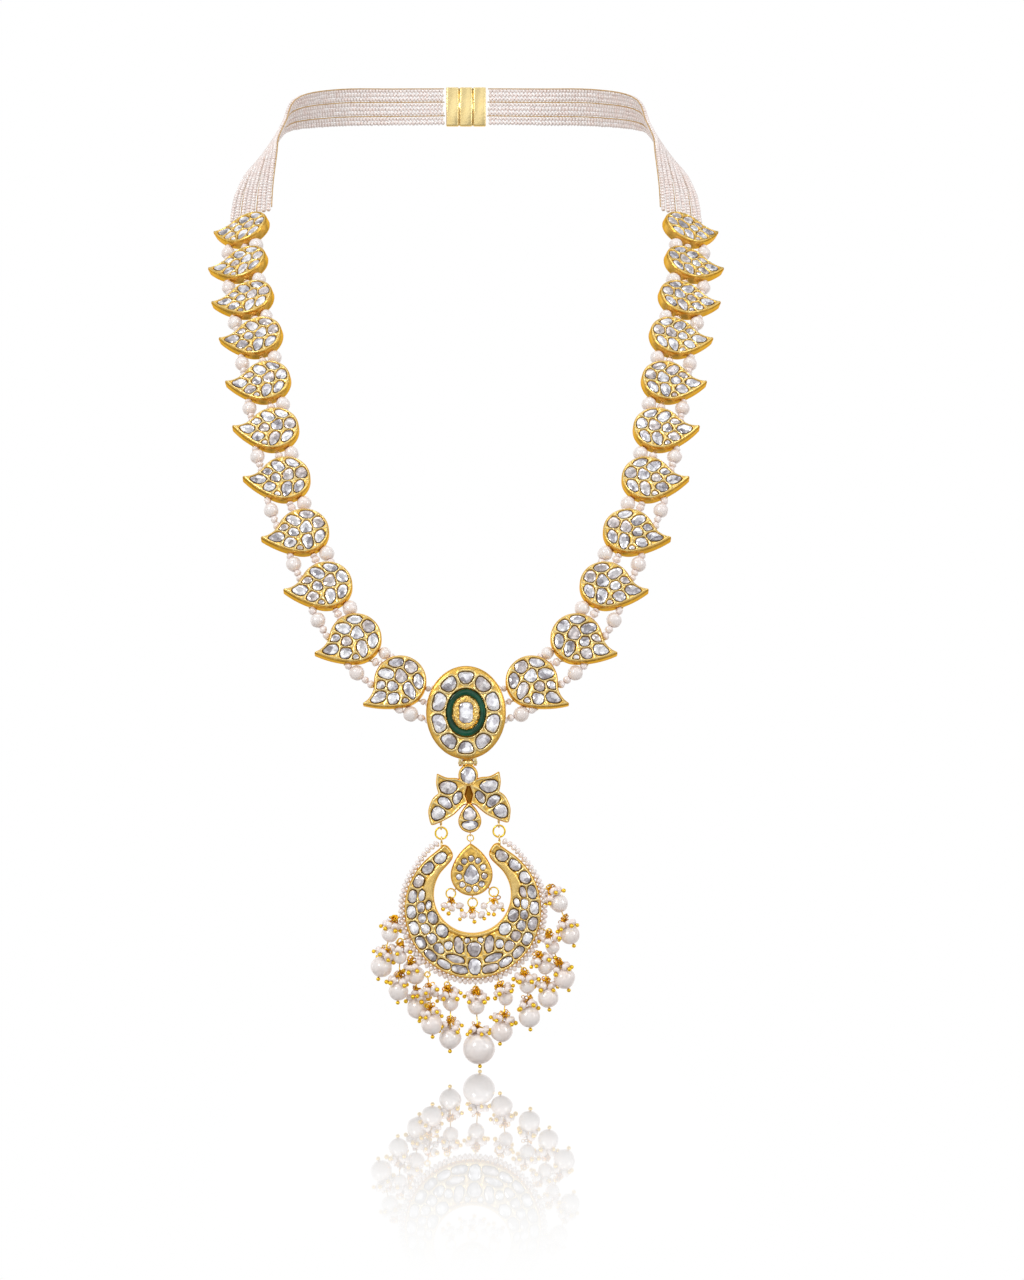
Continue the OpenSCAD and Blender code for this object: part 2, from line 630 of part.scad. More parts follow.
// Inner drop
drop_link_v = small_eye_v - small_eye_r + wire_d + fine_clear - small_link_r;
drop_eye_v = drop_link_v - small_link_r - small_eye_r + wire_d + fine_clear;
module drop() {
    front = drop_t / 2;
    color(gold) hung() {
        translate([0, drop_v, 0]) difference() {
            union() {
                slab(-front, front - step_h) polygon(pear(drop_r, drop_tip.y, 0));
                slab(front - step_h - lap, front) polygon(pear(drop_r, drop_tip.y, step_in));
                for (a = drop_hook_angles)
                    eye(a, drop_hook_out - drop_hook_r - ring_gap, fine_eye_r, wire_d, drop_r - 1);
            }
            cells(drop_all, front);
        }
        translate([0, drop_eye_v, 0]) rotate([0, 90, 0]) torus(small_eye_r, wire_d);
    }
}
module drop_stones() {
    color(stone) hung() translate([0, drop_v, stone_lift]) stones(drop_all, drop_t / 2);
}
module drop_link() {
    color(gold) hung() translate([0, drop_link_v, 0]) torus(small_link_r, wire_d);
}
function drop_hook(a) = [0, drop_v] + drop_hook_out * [cos(a), sin(a)];
module drop_rings() {
    color(gold) hung() for (a = drop_hook_angles) translate(drop_hook(a)) torus(drop_hook_r, wire_d);
}
// Three seed pearls on pins, gathered in one loop over each ring
module drop_clusters() {
    color(pearl) hung() for (a = drop_hook_angles) translate(drop_hook(a) - [0, drop_hook_r + ring_gap, 0]) {
        rotate([0, 90, 0]) torus(fine_eye_r, wire_d);
        translate([0, -0.6, 0]) rotate([90, 0, 0]) cylinder(d = wire_d * 1.4, h = 2.3);
        translate([-2.5, -3.3, 0]) rotate([0, 90, 0]) cylinder(d = wire_d * 1.4, h = 5);
        for (x = [-1, 0, 1]) translate([x * 2.5, -3.3, 0]) rotate([0, 90, 0]) sphere(d = 2.4);
    }
}

// Fringe
function rim_hook(s) = [hook_out * cos(s[0]), moon_v + hook_out * sin(s[0]), 0];
function upper(s) = [s[1], s[2], s[7] / 2];
function lower(s) = [s[4], s[5], s[7]];
// The eye at the top of a string stays in the plane of its ring
function wire_top(s) = let (d = upper(s) - rim_hook(s))
    rim_hook(s) + (hook_r + ring_gap) * unit([d.x, d.y, 0]);
// Where a cluster sits on a pearl of radius r, on the wire that comes down to it
function seat(r) = r == 0 ? 0 : sqrt(pow(r + seed_d / 2 + 0.15, 2) - pow(cluster_r, 2));
module fringe_rings() {
    color(gold) hung() for (s = STRINGS) translate(rim_hook(s)) torus(hook_r, wire_d);
}
module fringe_wires() {
    color(gold) hung() for (s = STRINGS) {
        top = wire_top(s);
        way = unit(upper(s) - top);
        end = lower(s) + (s[6] + ball_d / 2 + 0.05) * unit(lower(s) - upper(s));
        translate(top) rotate([0, 0, atan2(way.y, way.x)]) rotate([90, 0, 0]) torus(fine_eye_r, wire_d);
        rod(top + 0.5 * way, upper(s), wire_d);
        rod(upper(s), end, wire_d);
        translate(upper(s)) sphere(d = wire_joint_d);
        translate(end) sphere(d = ball_d);
    }
}
module cluster(at, way) {
    translate(at) rotate([0, acos(way.z), atan2(way.y, way.x)]) for (k = [0:cluster_n - 1])
        rotate([0, 0, 360 * k / cluster_n]) translate([cluster_r, 0, 0]) sphere(d = seed_d);
}
module fringe_clusters_upper() {
    color(pearl) hung() for (s = STRINGS) {
        way = unit(wire_top(s) - upper(s));
        cluster(upper(s) + seat(s[3]) * way, way);
    }
}
module fringe_clusters_lower() {
    color(pearl) hung() for (s = STRINGS) {
        way = unit(upper(s) - lower(s));
        cluster(lower(s) + seat(s[6]) * way, way);
    }
}
module fringe_pearls_upper() {
    color(pearl) hung() for (s = STRINGS) if (s[3] > 0) difference() {
        translate(upper(s)) sphere(r = s[3]);
        rod(upper(s), wire_top(s), wire_joint_d + bore_gap);
        rod(upper(s), lower(s), wire_joint_d + bore_gap);
        translate(upper(s)) sphere(d = wire_joint_d + bore_gap + lap);
    }
}
module fringe_lower_pearl(s) {
    color(pearl) hung() bored_ball(upper(s), lower(s), lower(s), 2 * s[6], wire_d + bore_gap);
}
module fringe_pearls_lower() {
    for (i = [0:string_n - 1]) if (i != 5) fringe_lower_pearl(STRINGS[i]);
}
module bottom_pearl() {
    fringe_lower_pearl(STRINGS[5]);
}
module other_side() {
    mirror([1, 0, 0]) children();
}

link_gold(0);  // link_l01
link_gold(1);  // link_l02
link_gold(2);  // link_l03
link_gold(3);  // link_l04
link_gold(4);  // link_l05
link_gold(5);  // link_l06
link_gold(6);  // link_l07
link_gold(7);  // link_l08
link_gold(8);  // link_l09
link_gold(9);  // link_l10
link_gold(10);  // link_l11
other_side() link_gold(0);  // link_r01
other_side() link_gold(1);  // link_r02
other_side() link_gold(2);  // link_r03
other_side() link_gold(3);  // link_r04
other_side() link_gold(4);  // link_r05
other_side() link_gold(5);  // link_r06
other_side() link_gold(6);  // link_r07
other_side() link_gold(7);  // link_r08
other_side() link_gold(8);  // link_r09
other_side() link_gold(9);  // link_r10
other_side() link_gold(10);  // link_r11
link_stones();  // link_stones_left
other_side() link_stones();  // link_stones_right
threads();  // threads_left
other_side() threads();  // threads_right
spacer_pearls();  // spacer_pearls_left
other_side() spacer_pearls();  // spacer_pearls_right
middle_beads();  // middle_beads_left
other_side() middle_beads();  // middle_beads_right
seed_band();  // seed_band_left
other_side() seed_band();  // seed_band_right
clasp();
oval_frame();
oval_stones();
oval_enamel();
oval_centre_stone();
connector();
connector_stones();
jump_ring(-1);  // jump_ring_left
jump_ring(1);  // jump_ring_right
crescent();
crescent_stones();
seed_border();
drop();
drop_stones();
drop_link();
drop_rings();
drop_clusters();
fringe_rings();
fringe_wires();
fringe_clusters_upper();
fringe_clusters_lower();
fringe_pearls_upper();
fringe_pearls_lower();
bottom_pearl();
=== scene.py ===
import bpy
import bmesh
import math
import random
from functools import partial
import numpy as np
from mathutils import Matrix, Vector, noise


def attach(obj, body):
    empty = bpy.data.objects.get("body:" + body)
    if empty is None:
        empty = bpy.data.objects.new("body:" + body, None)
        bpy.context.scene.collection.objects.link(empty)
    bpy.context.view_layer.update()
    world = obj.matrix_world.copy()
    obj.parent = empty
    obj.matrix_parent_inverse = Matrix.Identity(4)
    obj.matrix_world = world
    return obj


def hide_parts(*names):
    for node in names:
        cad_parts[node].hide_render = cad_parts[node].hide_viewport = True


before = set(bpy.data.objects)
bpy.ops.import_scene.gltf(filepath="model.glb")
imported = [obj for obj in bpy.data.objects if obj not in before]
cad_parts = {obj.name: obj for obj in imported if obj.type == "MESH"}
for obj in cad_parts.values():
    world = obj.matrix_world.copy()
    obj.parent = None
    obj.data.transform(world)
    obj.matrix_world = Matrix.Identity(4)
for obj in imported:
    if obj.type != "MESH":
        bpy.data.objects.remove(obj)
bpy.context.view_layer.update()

# Polki necklace, worn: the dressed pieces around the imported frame.
# Lengths are in millimetres until a piece is placed, and metres after that.

mm = 0.001
shot = {
    "away": 1000, "eyeLine": -235.9, "pixel": 0.36, "wide": 1024, "high": 1280,
    "axisAcross": 466, "axisDown": 640, "sensor": 36
}
worn = {"drop": 262, "reach": 228, "lean": 2}


def turn(axis, degrees):
    return Matrix.Rotation(math.radians(degrees), 4, axis)


def shift(*place):
    return Matrix.Translation(Vector(place))


def stretch(x, y, z):
    return Matrix.Diagonal((x, y, z, 1))


def spoke(degrees, far=1.0):
    # x and y of a point at an angle and a distance from the origin
    angle = math.radians(degrees)
    return far * math.cos(angle), far * math.sin(angle)


def wobble(chance, spread):
    # random, from -spread to spread
    return chance.uniform(-spread, spread)


asIs = Matrix.Identity(4)
toMetres = Matrix.Scale(mm, 4)
sides = {"left": asIs, "right": stretch(-1, 1, 1)}
ovalPlace = toMetres @ shift(0, -worn["reach"], -worn["drop"]) @ turn("X", 90)
hungPlace = toMetres @ shift(0, -worn["reach"], -worn["drop"]) @ turn("Y", -worn["lean"]) @ turn("X", 90)


# Camera

def makeCamera():
    camera = bpy.data.cameras.new("camera")
    camera.sensor_fit = "VERTICAL"
    camera.sensor_height = shot["sensor"]
    camera.lens = camera.sensor_height * shot["away"] / (shot["pixel"] * shot["high"])
    camera.shift_x = (shot["wide"] / 2 - shot["axisAcross"]) / shot["high"]
    camera.shift_y = (shot["axisDown"] - shot["high"] / 2) / shot["high"]
    camera.clip_start = 0.01
    viewer = bpy.data.objects.new("camera", camera)
    viewer.location = Vector((0, -worn["reach"] - shot["away"], shot["eyeLine"])) * mm
    viewer.rotation_euler = (math.pi / 2, 0, 0)
    bpy.context.scene.collection.objects.link(viewer)
    bpy.context.scene.camera = viewer


makeCamera()
print("camera placed")


# Shader nodes

class Wire:
    # a socket that can be used in sums
    def __init__(self, finish, socket):
        self.finish, self.socket = finish, socket

    def sum(self, operation, first, second):
        return self.finish.node("ShaderNodeMath", {"operation": operation}, {0: first, 1: second})

    def __add__(self, other):
        return self.sum("ADD", self, other)

    def __radd__(self, other):
        return self.sum("ADD", other, self)

    def __sub__(self, other):
        return self.sum("SUBTRACT", self, other)

    def __rsub__(self, other):
        return self.sum("SUBTRACT", other, self)

    def __mul__(self, other):
        return self.sum("MULTIPLY", self, other)

    def __rmul__(self, other):
        return self.sum("MULTIPLY", other, self)


class Finish:
    def __init__(self, name, world=False):
        self.owner = bpy.data.worlds.new(name) if world else bpy.data.materials.new(name)
        self.owner.use_nodes = True
        self.tree = self.owner.node_tree
        self.tree.nodes.clear()

    def node(self, kind, settings=None, sockets=None, out=0):
        made = self.tree.nodes.new(kind)
        for name, value in (settings or {}).items():
            if name == "stops":
                self.setStops(made.color_ramp, value)
            else:
                setattr(made, name, value)
        for name, value in (sockets or {}).items():
            if isinstance(value, Wire):
                self.tree.links.new(value.socket, made.inputs[name])
            else:
                made.inputs[name].default_value = value
        return Wire(self, made.outputs[out]) if made.outputs else made

    def setStops(self, ramp, stops):
        while len(ramp.elements) < len(stops):
            ramp.elements.new(0.5)
        for element, (place, colour) in zip(ramp.elements, stops):
            element.position = place
            element.color = (*colour, 1)

    def ramp(self, value, stops):
        return self.node("ShaderNodeValToRGB", {"stops": stops}, {0: value})

    def blend(self, share, first, second, way="MIX"):
        settings = {"data_type": "RGBA", "blend_type": way, "clamp_factor": True, "clamp_result": False}
        sockets = {0: share, 6: asColour(first), 7: asColour(second)}
        return self.node("ShaderNodeMix", settings, sockets, out=2)

    def noise(self, scale, detail=2, rough=0.5, where=None):
        return self.node("ShaderNodeTexNoise", {}, {
            "Vector": where or self.objectPlace(), "Scale": scale, "Detail": detail, "Roughness": rough})

    def objectPlace(self):
        return self.node("ShaderNodeTexCoord", {}, {}, out="Object")

    def attribute(self, name):
        return self.node("ShaderNodeAttribute", {"attribute_name": name}, {}, out="Fac")

    def range(self, value, low, high, start=0.0, end=1.0):
        settings = {"clamp": True, "interpolation_type": "SMOOTHSTEP"}
        return self.node("ShaderNodeMapRange", settings, {0: value, 1: low, 2: high, 3: start, 4: end})

    def part(self, value, name):
        # one axis of a vector
        return self.node("ShaderNodeSeparateXYZ", {}, {0: value}, out=name)

    def bump(self, height, distance):
        return self.node("ShaderNodeBump", {}, {"Strength": 1.0, "Distance": distance, "Height": height})

    def surface(self, sockets):
        return self.finish(self.node("ShaderNodeBsdfPrincipled", {}, sockets))

    def finish(self, shader):
        self.node("ShaderNodeOutputMaterial", {}, {"Surface": shader})
        return self.owner


def asColour(value):
    return value if isinstance(value, Wire) or len(value) == 4 else (*value, 1)


# Finishes; sizes of patterns are in cells a metre, depths in metres

# Gold: high is a painted highlight tone, low and deep are painted shade tones, chosen by the painted shade
# stored on each point
goldLook = {
    "high": (0.92, 0.74, 0.36), "mid": (0.94, 0.60, 0.14), "low": (0.62, 0.30, 0.028),
    "deep": (0.22, 0.085, 0.008), "edge": (1.0, 0.75, 0.32, 1), "patchSize": 260, "patchShare": 0.25,
    "rough": 0.25, "roughSpread": 0.1, "paintedShadeRough": 0.15, "dentSize": 650, "dentDepth": 0.00006
}


def goldFinish(name, look):
    f = Finish(name)
    sunk = f.attribute("sunk")
    patches = f.noise(look["patchSize"], 3)
    # the per-point painted shade moves the colour from the painted highlight tone to the painted shade tone,
    # with random patches on top
    tone = f.ramp(sunk + (patches - 0.5) * look["patchShare"], [
        (0.0, look["high"]), (0.3, look["mid"]), (0.68, look["low"]), (1.0, look["deep"])])
    dents = f.noise(look["dentSize"], 3, 0.6)
    rough = look["rough"] + (dents - 0.5) * look["roughSpread"] + sunk * look["paintedShadeRough"]
    return f.surface({
        "Base Color": tone, "Metallic": 1.0, "Roughness": rough, "Specular Tint": look["edge"],
        "Normal": f.bump(dents, look["dentDepth"])
    })


stoneLook = {
    "pale": (0.95, 0.96, 1.0), "mid": (0.70, 0.69, 0.75), "dull": (0.32, 0.30, 0.33),
    "edge": (0.10, 0.085, 0.07), "warm": (0.78, 0.66, 0.60), "warmShade": (0.42, 0.33, 0.29),
    "warmShare": 0.6, "patchSize": 420, "metallic": 0.45, "rough": 0.09, "rimRough": 0.2, "depth": 0.00005
}


def stoneFinish(name, look):
    f = Finish(name)
    cut = f.node("ShaderNodeTexVoronoi", {"feature": "F1"}, {
        "Vector": f.objectPlace(), "Scale": look["patchSize"]}, out="Color")
    patch = f.node("ShaderNodeSeparateColor", {}, {0: cut})
    cloud = f.noise(look["patchSize"] * 1.6, 3)
    # pale and dull patches cell by cell are painted reflections for the flat facets, mixed with the stone's
    # own cloudy tone
    tone = f.ramp(patch * 0.55 + cloud * 0.45, [
        (0.25, look["dull"]), (0.45, look["mid"]), (0.62, look["pale"])])
    smoke = f.blend(f.range(cloud, 0.35, 0.6), look["warmShade"], look["warm"])
    tone = f.blend(f.range(f.attribute("tint"), 0.55, 1.0) * look["warmShare"], tone, smoke)
    # the girdle is darkened with painted shade where the stone runs under the gold
    rim = f.range(f.attribute("girdle"), 0.55, 0.95)
    return f.surface({
        "Base Color": f.blend(rim, tone, look["edge"]), "Metallic": look["metallic"],
        "Roughness": look["rough"] + rim * look["rimRough"], "Coat Weight": 0.6, "Coat Roughness": 0.03,
        "IOR": 1.9, "Normal": f.bump(cloud, look["depth"])
    })


pearlLook = {
    "white": (0.93, 0.88, 0.86), "pink": (0.93, 0.81, 0.76), "grey": (0.84, 0.82, 0.85),
    "shade": (0.42, 0.24, 0.16), "veil": (1.0, 0.66, 0.50, 1), "size": 120, "pinkness": 0.7, "greyness": 0.3,
    "shadiness": 0.7, "rough": 0.3
}
seedLook = {
    **pearlLook, "white": (0.97, 0.91, 0.89), "pink": (0.96, 0.84, 0.80), "size": 300, "pinkness": 1.0
}


def pearlFinish(name, look):
    f = Finish(name)
    body = f.noise(look["size"], 1)
    bands = f.noise(look["size"] * 3, 2)
    tone = f.blend(f.range(body, 0.32, 0.72) * look["pinkness"], look["white"], look["pink"])
    tone = f.blend(f.range(bands, 0.5, 0.85) * look["greyness"], tone, look["grey"])
    # darker towards the thread ends: painted shade between neighbouring beads
    tone = f.blend(f.attribute("hollow") * look["shadiness"], tone, look["shade"])
    return f.surface({
        "Base Color": tone, "Roughness": look["rough"] + (bands - 0.5) * 0.1,
        "Coat Weight": 0.9, "Coat Roughness": 0.07, "Coat IOR": 1.85,
        "Sheen Weight": 0.45, "Sheen Roughness": 0.4, "Sheen Tint": look["veil"]
    })


enamelLook = {"deep": (0.0, 0.04, 0.018), "bright": (0.0, 0.10, 0.05), "size": 220, "depth": 0.00004}


def enamelFinish(name, look):
    f = Finish(name)
    cloud = f.noise(look["size"], 3)
    tone = f.blend(f.range(cloud, 0.35, 0.7), look["deep"], look["bright"])
    return f.surface({
        "Base Color": tone, "Roughness": 0.3, "Specular IOR Level": 0.05, "Coat Weight": 0.7,
        "Coat Roughness": 0.04, "Normal": f.bump(cloud, look["depth"])
    })


threadLook = {"dark": (0.52, 0.30, 0.10), "pale": (0.78, 0.55, 0.28), "size": 1800, "depth": 0.0001}
# near-black tones of the painted shade inside a drilled hole, a little uneven
holeLook = {"dark": (0.02, 0.01, 0.004), "lighterShade": (0.07, 0.035, 0.012), "size": 900}


def threadFinish(name, look):
    f = Finish(name)
    fibre = f.noise(look["size"], 2)
    tone = f.blend(fibre, look["dark"], look["pale"])
    return f.surface({"Base Color": tone, "Roughness": 0.75, "Normal": f.bump(fibre, look["depth"])})


def holeFinish(name, look):
    f = Finish(name)
    # painted shade for the inside of a hole
    tone = f.blend(f.noise(look["size"], 2), look["dark"], look["lighterShade"])
    return f.surface({"Base Color": tone, "Roughness": 0.8})


# fine wire: brighter painted highlight and mid tones on the same painted shade ramp
wireLook = {
    **goldLook, "high": (1.0, 0.68, 0.06), "mid": (1.0, 0.54, 0.02), "rough": 0.2, "dentDepth": 0.00002
}
finishes = {
    "gold": goldFinish("kundan_gold", goldLook),
    "wire": goldFinish("wire_gold", wireLook),
    "stone": stoneFinish("flat_cut_stone", stoneLook),
    "pearl": pearlFinish("round_pearl", pearlLook),
    "seed": pearlFinish("seed_pearl", seedLook),
    "enamel": enamelFinish("green_enamel", enamelLook),
    "thread": threadFinish("stringing_thread", threadLook),
    "hole": holeFinish("drilled_hole_painted_shade", holeLook)
}
print("finishes ready")


# Small helpers for meshes

def keep(name, shape, finish, body, nodes=(), place=asIs, inlay=()):
    # the finished piece; shape is a mesh or a bmesh, and inlay names more finishes for its faces
    mesh = shape if isinstance(shape, bpy.types.Mesh) else asMesh(shape)
    mesh.name = name
    placeMesh(mesh, place)
    if finish != "stone":
        mesh.shade_smooth()
    for each in (finish, *inlay):
        mesh.materials.append(finishes[each])
    piece = bpy.data.objects.new(name, mesh)
    bpy.context.scene.collection.objects.link(piece)
    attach(piece, body)
    if nodes:
        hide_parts(*nodes)


def placeMesh(mesh, place):
    mesh.transform(place)
    if place.determinant() < 0:
        mesh.flip_normals()


def freshMesh(*layers):
    # empty, with a number on each point for each layer
    bm = bmesh.new()
    for layer in layers:
        bm.verts.layers.float.new(layer)
    return bm


def asMesh(bm):
    mesh = bpy.data.meshes.new("shape")
    bm.to_mesh(mesh)
    bm.free()
    return mesh


def addCopy(bm, shape, place=asIs):
    # the shape, placed, joined to bm
    copy = shape.copy()
    placeMesh(copy, place)
    bm.from_mesh(copy)
    bpy.data.meshes.remove(copy)


def aim(start, end):
    # stands on start with its z axis towards end
    way = Vector(end) - Vector(start)
    return shift(*start) @ way.to_track_quat("Z", "Y").to_matrix().to_4x4()


def ringShape(radius, wire, steps, sides):
    # closed ring in the xy plane
    bm = bmesh.new()
    circle = bmesh.ops.create_circle(bm, segments=sides, radius=wire / 2,
                                     matrix=turn("Z", 90) @ shift(radius, 0, 0) @ turn("X", 90))["verts"]
    edges = list({e for v in circle for e in v.link_edges})
    bmesh.ops.spin(bm, geom=circle + edges, cent=(0, 0, 0), axis=(0, 0, 1), angle=2 * math.pi, steps=steps,
                   use_merge=True)
    bmesh.ops.recalc_face_normals(bm, faces=bm.faces[:])
    return asMesh(bm)


def ballShape(across, down, lumps=0.0, seed=0, hole=0.3):
    # share of painted shade round the ends, where a thread goes in and neighbouring beads touch; hole is how
    # far from the end it reaches
    bm = bmesh.new()
    bmesh.ops.create_uvsphere(bm, u_segments=across, v_segments=down, radius=1)
    hollow = bm.verts.layers.float.new("hollow")
    for v in bm.verts:
        v[hollow] = min(1, max(0, (abs(v.co.z) - 1 + hole) / hole))
        v.co *= 1 + lumps * noise.noise(v.co * 1.3 + Vector((seed * 7.1, 0, 0)))
    return asMesh(bm)


def addDrum(bm, sides, low, high, long, place):
    # round or many-sided drum up z, with its two radii
    bmesh.ops.create_cone(bm, cap_ends=True, segments=sides, radius1=low, radius2=high, depth=long,
                          matrix=place)


def rodShape(sides):
    # one unit long up z, one unit across
    bm = bmesh.new()
    addDrum(bm, sides, 0.5, 0.5, 1, shift(0, 0, 0.5))
    return asMesh(bm)


rodMesh = rodShape(7)
loopShape = ringShape(1, 0.5, 12, 5)
pinBall = ballShape(10, 6)
seedShapes = [ballShape(12, 8, 0.2, k, 0.28) for k in range(5)]
pearlShapes = [ballShape(28, 18, 0.07, k, 0.1) for k in range(5)]


def addRod(bm, start, end, across):
    length = (Vector(end) - Vector(start)).length
    addCopy(bm, rodMesh, aim(start, end) @ stretch(across, across, length))


def addBall(bm, at, radius):
    addCopy(bm, pinBall, shift(*at) @ stretch(radius, radius, radius))


def addBlock(bm, place, size, soft=0.0, steps=2):
    # box with its middle at the place and soft edges
    block = bmesh.new()
    bmesh.ops.create_cube(block, size=1, matrix=stretch(*size))
    if soft:
        bevelAll(block, soft, steps)
    addCopy(bm, asMesh(block), place)


def bevelAll(bm, offset, steps):
    bmesh.ops.bevel(bm, geom=bm.edges[:], offset=offset, segments=steps, profile=0.5, affect="EDGES",
                    material=-1)


# Outlines in one plane, as rows of x and y

def arc(centre, radius, start, end, count):
    angles = np.radians(np.linspace(start, end, count + 1))
    return np.array(centre) + radius * np.column_stack([np.cos(angles), np.sin(angles)])


def tailSide(radius, angle, tip, count):
    # arc that leaves a circle round the origin and ends at the tip
    leave = np.array(spoke(angle, radius))
    gap = np.array(tip) - leave
    bend = -gap.dot(gap) / (2 * gap.dot(leave) / radius)
    centre = leave - bend * leave / radius
    start = math.degrees(math.atan2(*(leave - centre)[::-1]))
    end = math.degrees(math.atan2(*(np.array(tip) - centre)[::-1]))
    end += 360 * round((start - end) / 360)
    return arc(centre, abs(bend), start, end, count)


def tearOutline(radius, tip, start, end, blunt, count=90, sideCount=24):
    # round body with two tails that meet in a blunt tip
    body = arc((0, 0), radius, start, end, count)
    up = tailSide(radius, end, tip, sideCount)[1:]
    down = tailSide(radius, start, tip, sideCount)[1:-1][::-1]
    up, down = (side[np.linalg.norm(side - tip, axis=1) > blunt] for side in (up, down))
    tip = np.array(tip)
    middle = (up[-1] + down[0]) / 2
    nose = [0.6 * up[-1] + 0.4 * tip, 0.5 * middle + 0.5 * tip, 0.6 * down[0] + 0.4 * tip]
    return np.vstack([body, up, nose, down])


def ellipseOutline(a, b, count=96):
    angles = np.radians(np.arange(count) * 360 / count)
    return np.column_stack([a * np.cos(angles), b * np.sin(angles)])


def blockOutline(wide, high, corner):
    rows = [arc((x * (wide / 2 - corner), y * (high / 2 - corner)), corner, start, start + 90, 3)
            for x, y, start in ((1, 1, 0), (-1, 1, 90), (-1, -1, 180), (1, -1, 270))]
    return np.vstack(rows)


def smoothCurve(points, count):
    # curve through the points
    points = np.array(points, float)
    rows = []
    for i in range(len(points) - 1):
        a, b = points[max(i - 1, 0)], points[i]
        c, d = points[i + 1], points[min(i + 2, len(points) - 1)]
        for t in np.arange(count) / count:
            rows.append(0.5 * (2 * b + (c - a) * t + (2 * a - 5 * b + 4 * c - d) * t * t
                               + (3 * b - a - 3 * c + d) * t ** 3))
    return np.array(rows + [points[-1]])


def measure(points, outline):
    # depth inside a closed outline, negative outside, and the nearest point of the outline
    depths, nearest = [], []
    a, b = outline, np.roll(outline, -1, axis=0)
    side = b - a
    length = np.maximum((side * side).sum(1), 1e-12)
    for part in np.array_split(points, max(1, len(points) // 3000)):
        away = part[:, None] - a
        share = np.clip((away * side).sum(2) / length, 0, 1)
        foot = a + share[..., None] * side
        far = np.linalg.norm(part[:, None] - foot, axis=2)
        best = far.argmin(1)
        x, y = part[:, 0, None], part[:, 1, None]
        steep = np.where(side[:, 1] == 0, 1e-12, side[:, 1])
        crossing = a[:, 0] + side[:, 0] * (y - a[:, 1]) / steep
        crossed = ((a[:, 1] > y) != (b[:, 1] > y)) & (x < crossing)
        inside = crossed.sum(1) % 2 == 1
        rows = np.arange(len(part))
        depths.append(np.where(inside, 1, -1) * far[rows, best])
        nearest.append(foot[rows, best])
    return np.concatenate(depths), np.vstack(nearest)


def depthIn(points, outline):
    return measure(points, outline)[0]


farOff = 99  # stands in where there is no neighbour


# Stones: x, y, length, width, turn, swell towards one end, all in the plane of their piece

stoneFit = {
    "rays": 13, "least": 0.4, "grow": 1.24, "steps": 26, "between": 0.95, "margin": 1.1, "overlap": 0.3,
    "loose": 0.045, "nearby": 11
}
stoneCut = {
    "grow": 0.1, "tilt": 0.05, "loose": 0.05, "peak": 0.5, "poke": 0.09,
    # rings from the foot up: share of the outline, height, painted shade at the edge where the stone runs
    # under the gold
    "rings": [(1, -0.9, 1), (1, -0.34, 1), (0.82, -0.1, 0), (0.52, 0.07, 0)]
}


def smoothStone(stone, count):
    x, y, long, wide, way, swell = stone
    t = np.radians((np.arange(count) + 0.5) * 360 / count)
    u, v = long / 2 * np.cos(t), wide / 2 * np.sin(t) * (1 + swell * np.cos(t))
    cos, sin = spoke(way)
    return np.column_stack([x + u * cos - v * sin, y + u * sin + v * cos])


def flipStones(stones):
    return [(-x, y, long, wide, 180 - way, swell) for x, y, long, wide, way, swell in stones]


def fitStones(stones, rim, chance, look, heart=None):
    # each stone grows along its rays until it nears a neighbour, the rim or the heart inside the row
    plain = [smoothStone(s, look["rays"]) for s in stones]
    steps = np.linspace(look["least"], look["grow"], look["steps"])
    fitted = []
    for i, seed in enumerate(plain):
        centre = seed.mean(0)
        way = seed - centre
        points = (centre + way[:, None] * steps[None, :, None]).reshape(-1, 2)
        own = -depthIn(points, seed)
        near = [other for j, other in enumerate(plain)
                if j != i and np.linalg.norm(other.mean(0) - centre) < look["nearby"]]
        others = np.min([-depthIn(points, other) for other in near], axis=0) if near else own + farOff
        free = (others - own > look["between"]) & (depthIn(points, rim) > look["margin"])
        if heart is not None:
            free &= depthIn(points, heart) < look["overlap"]
        free = free.reshape(len(seed), -1)
        count = np.where(free.all(1), free.shape[1], free.argmin(1))
        share = steps[np.maximum(count - 1, 0)]
        share = 0.5 * share + 0.25 * np.roll(share, 1) + 0.25 * np.roll(share, -1)
        share *= [1 + wobble(chance, look["loose"]) for _ in share]
        fitted.append(centre + way * share[:, None])
    return fitted


def growOutline(outline, grow):
    centre = outline.mean(0)
    far = np.linalg.norm(outline - centre, axis=1, keepdims=True)
    return centre + (outline - centre) * (1 + grow / far)


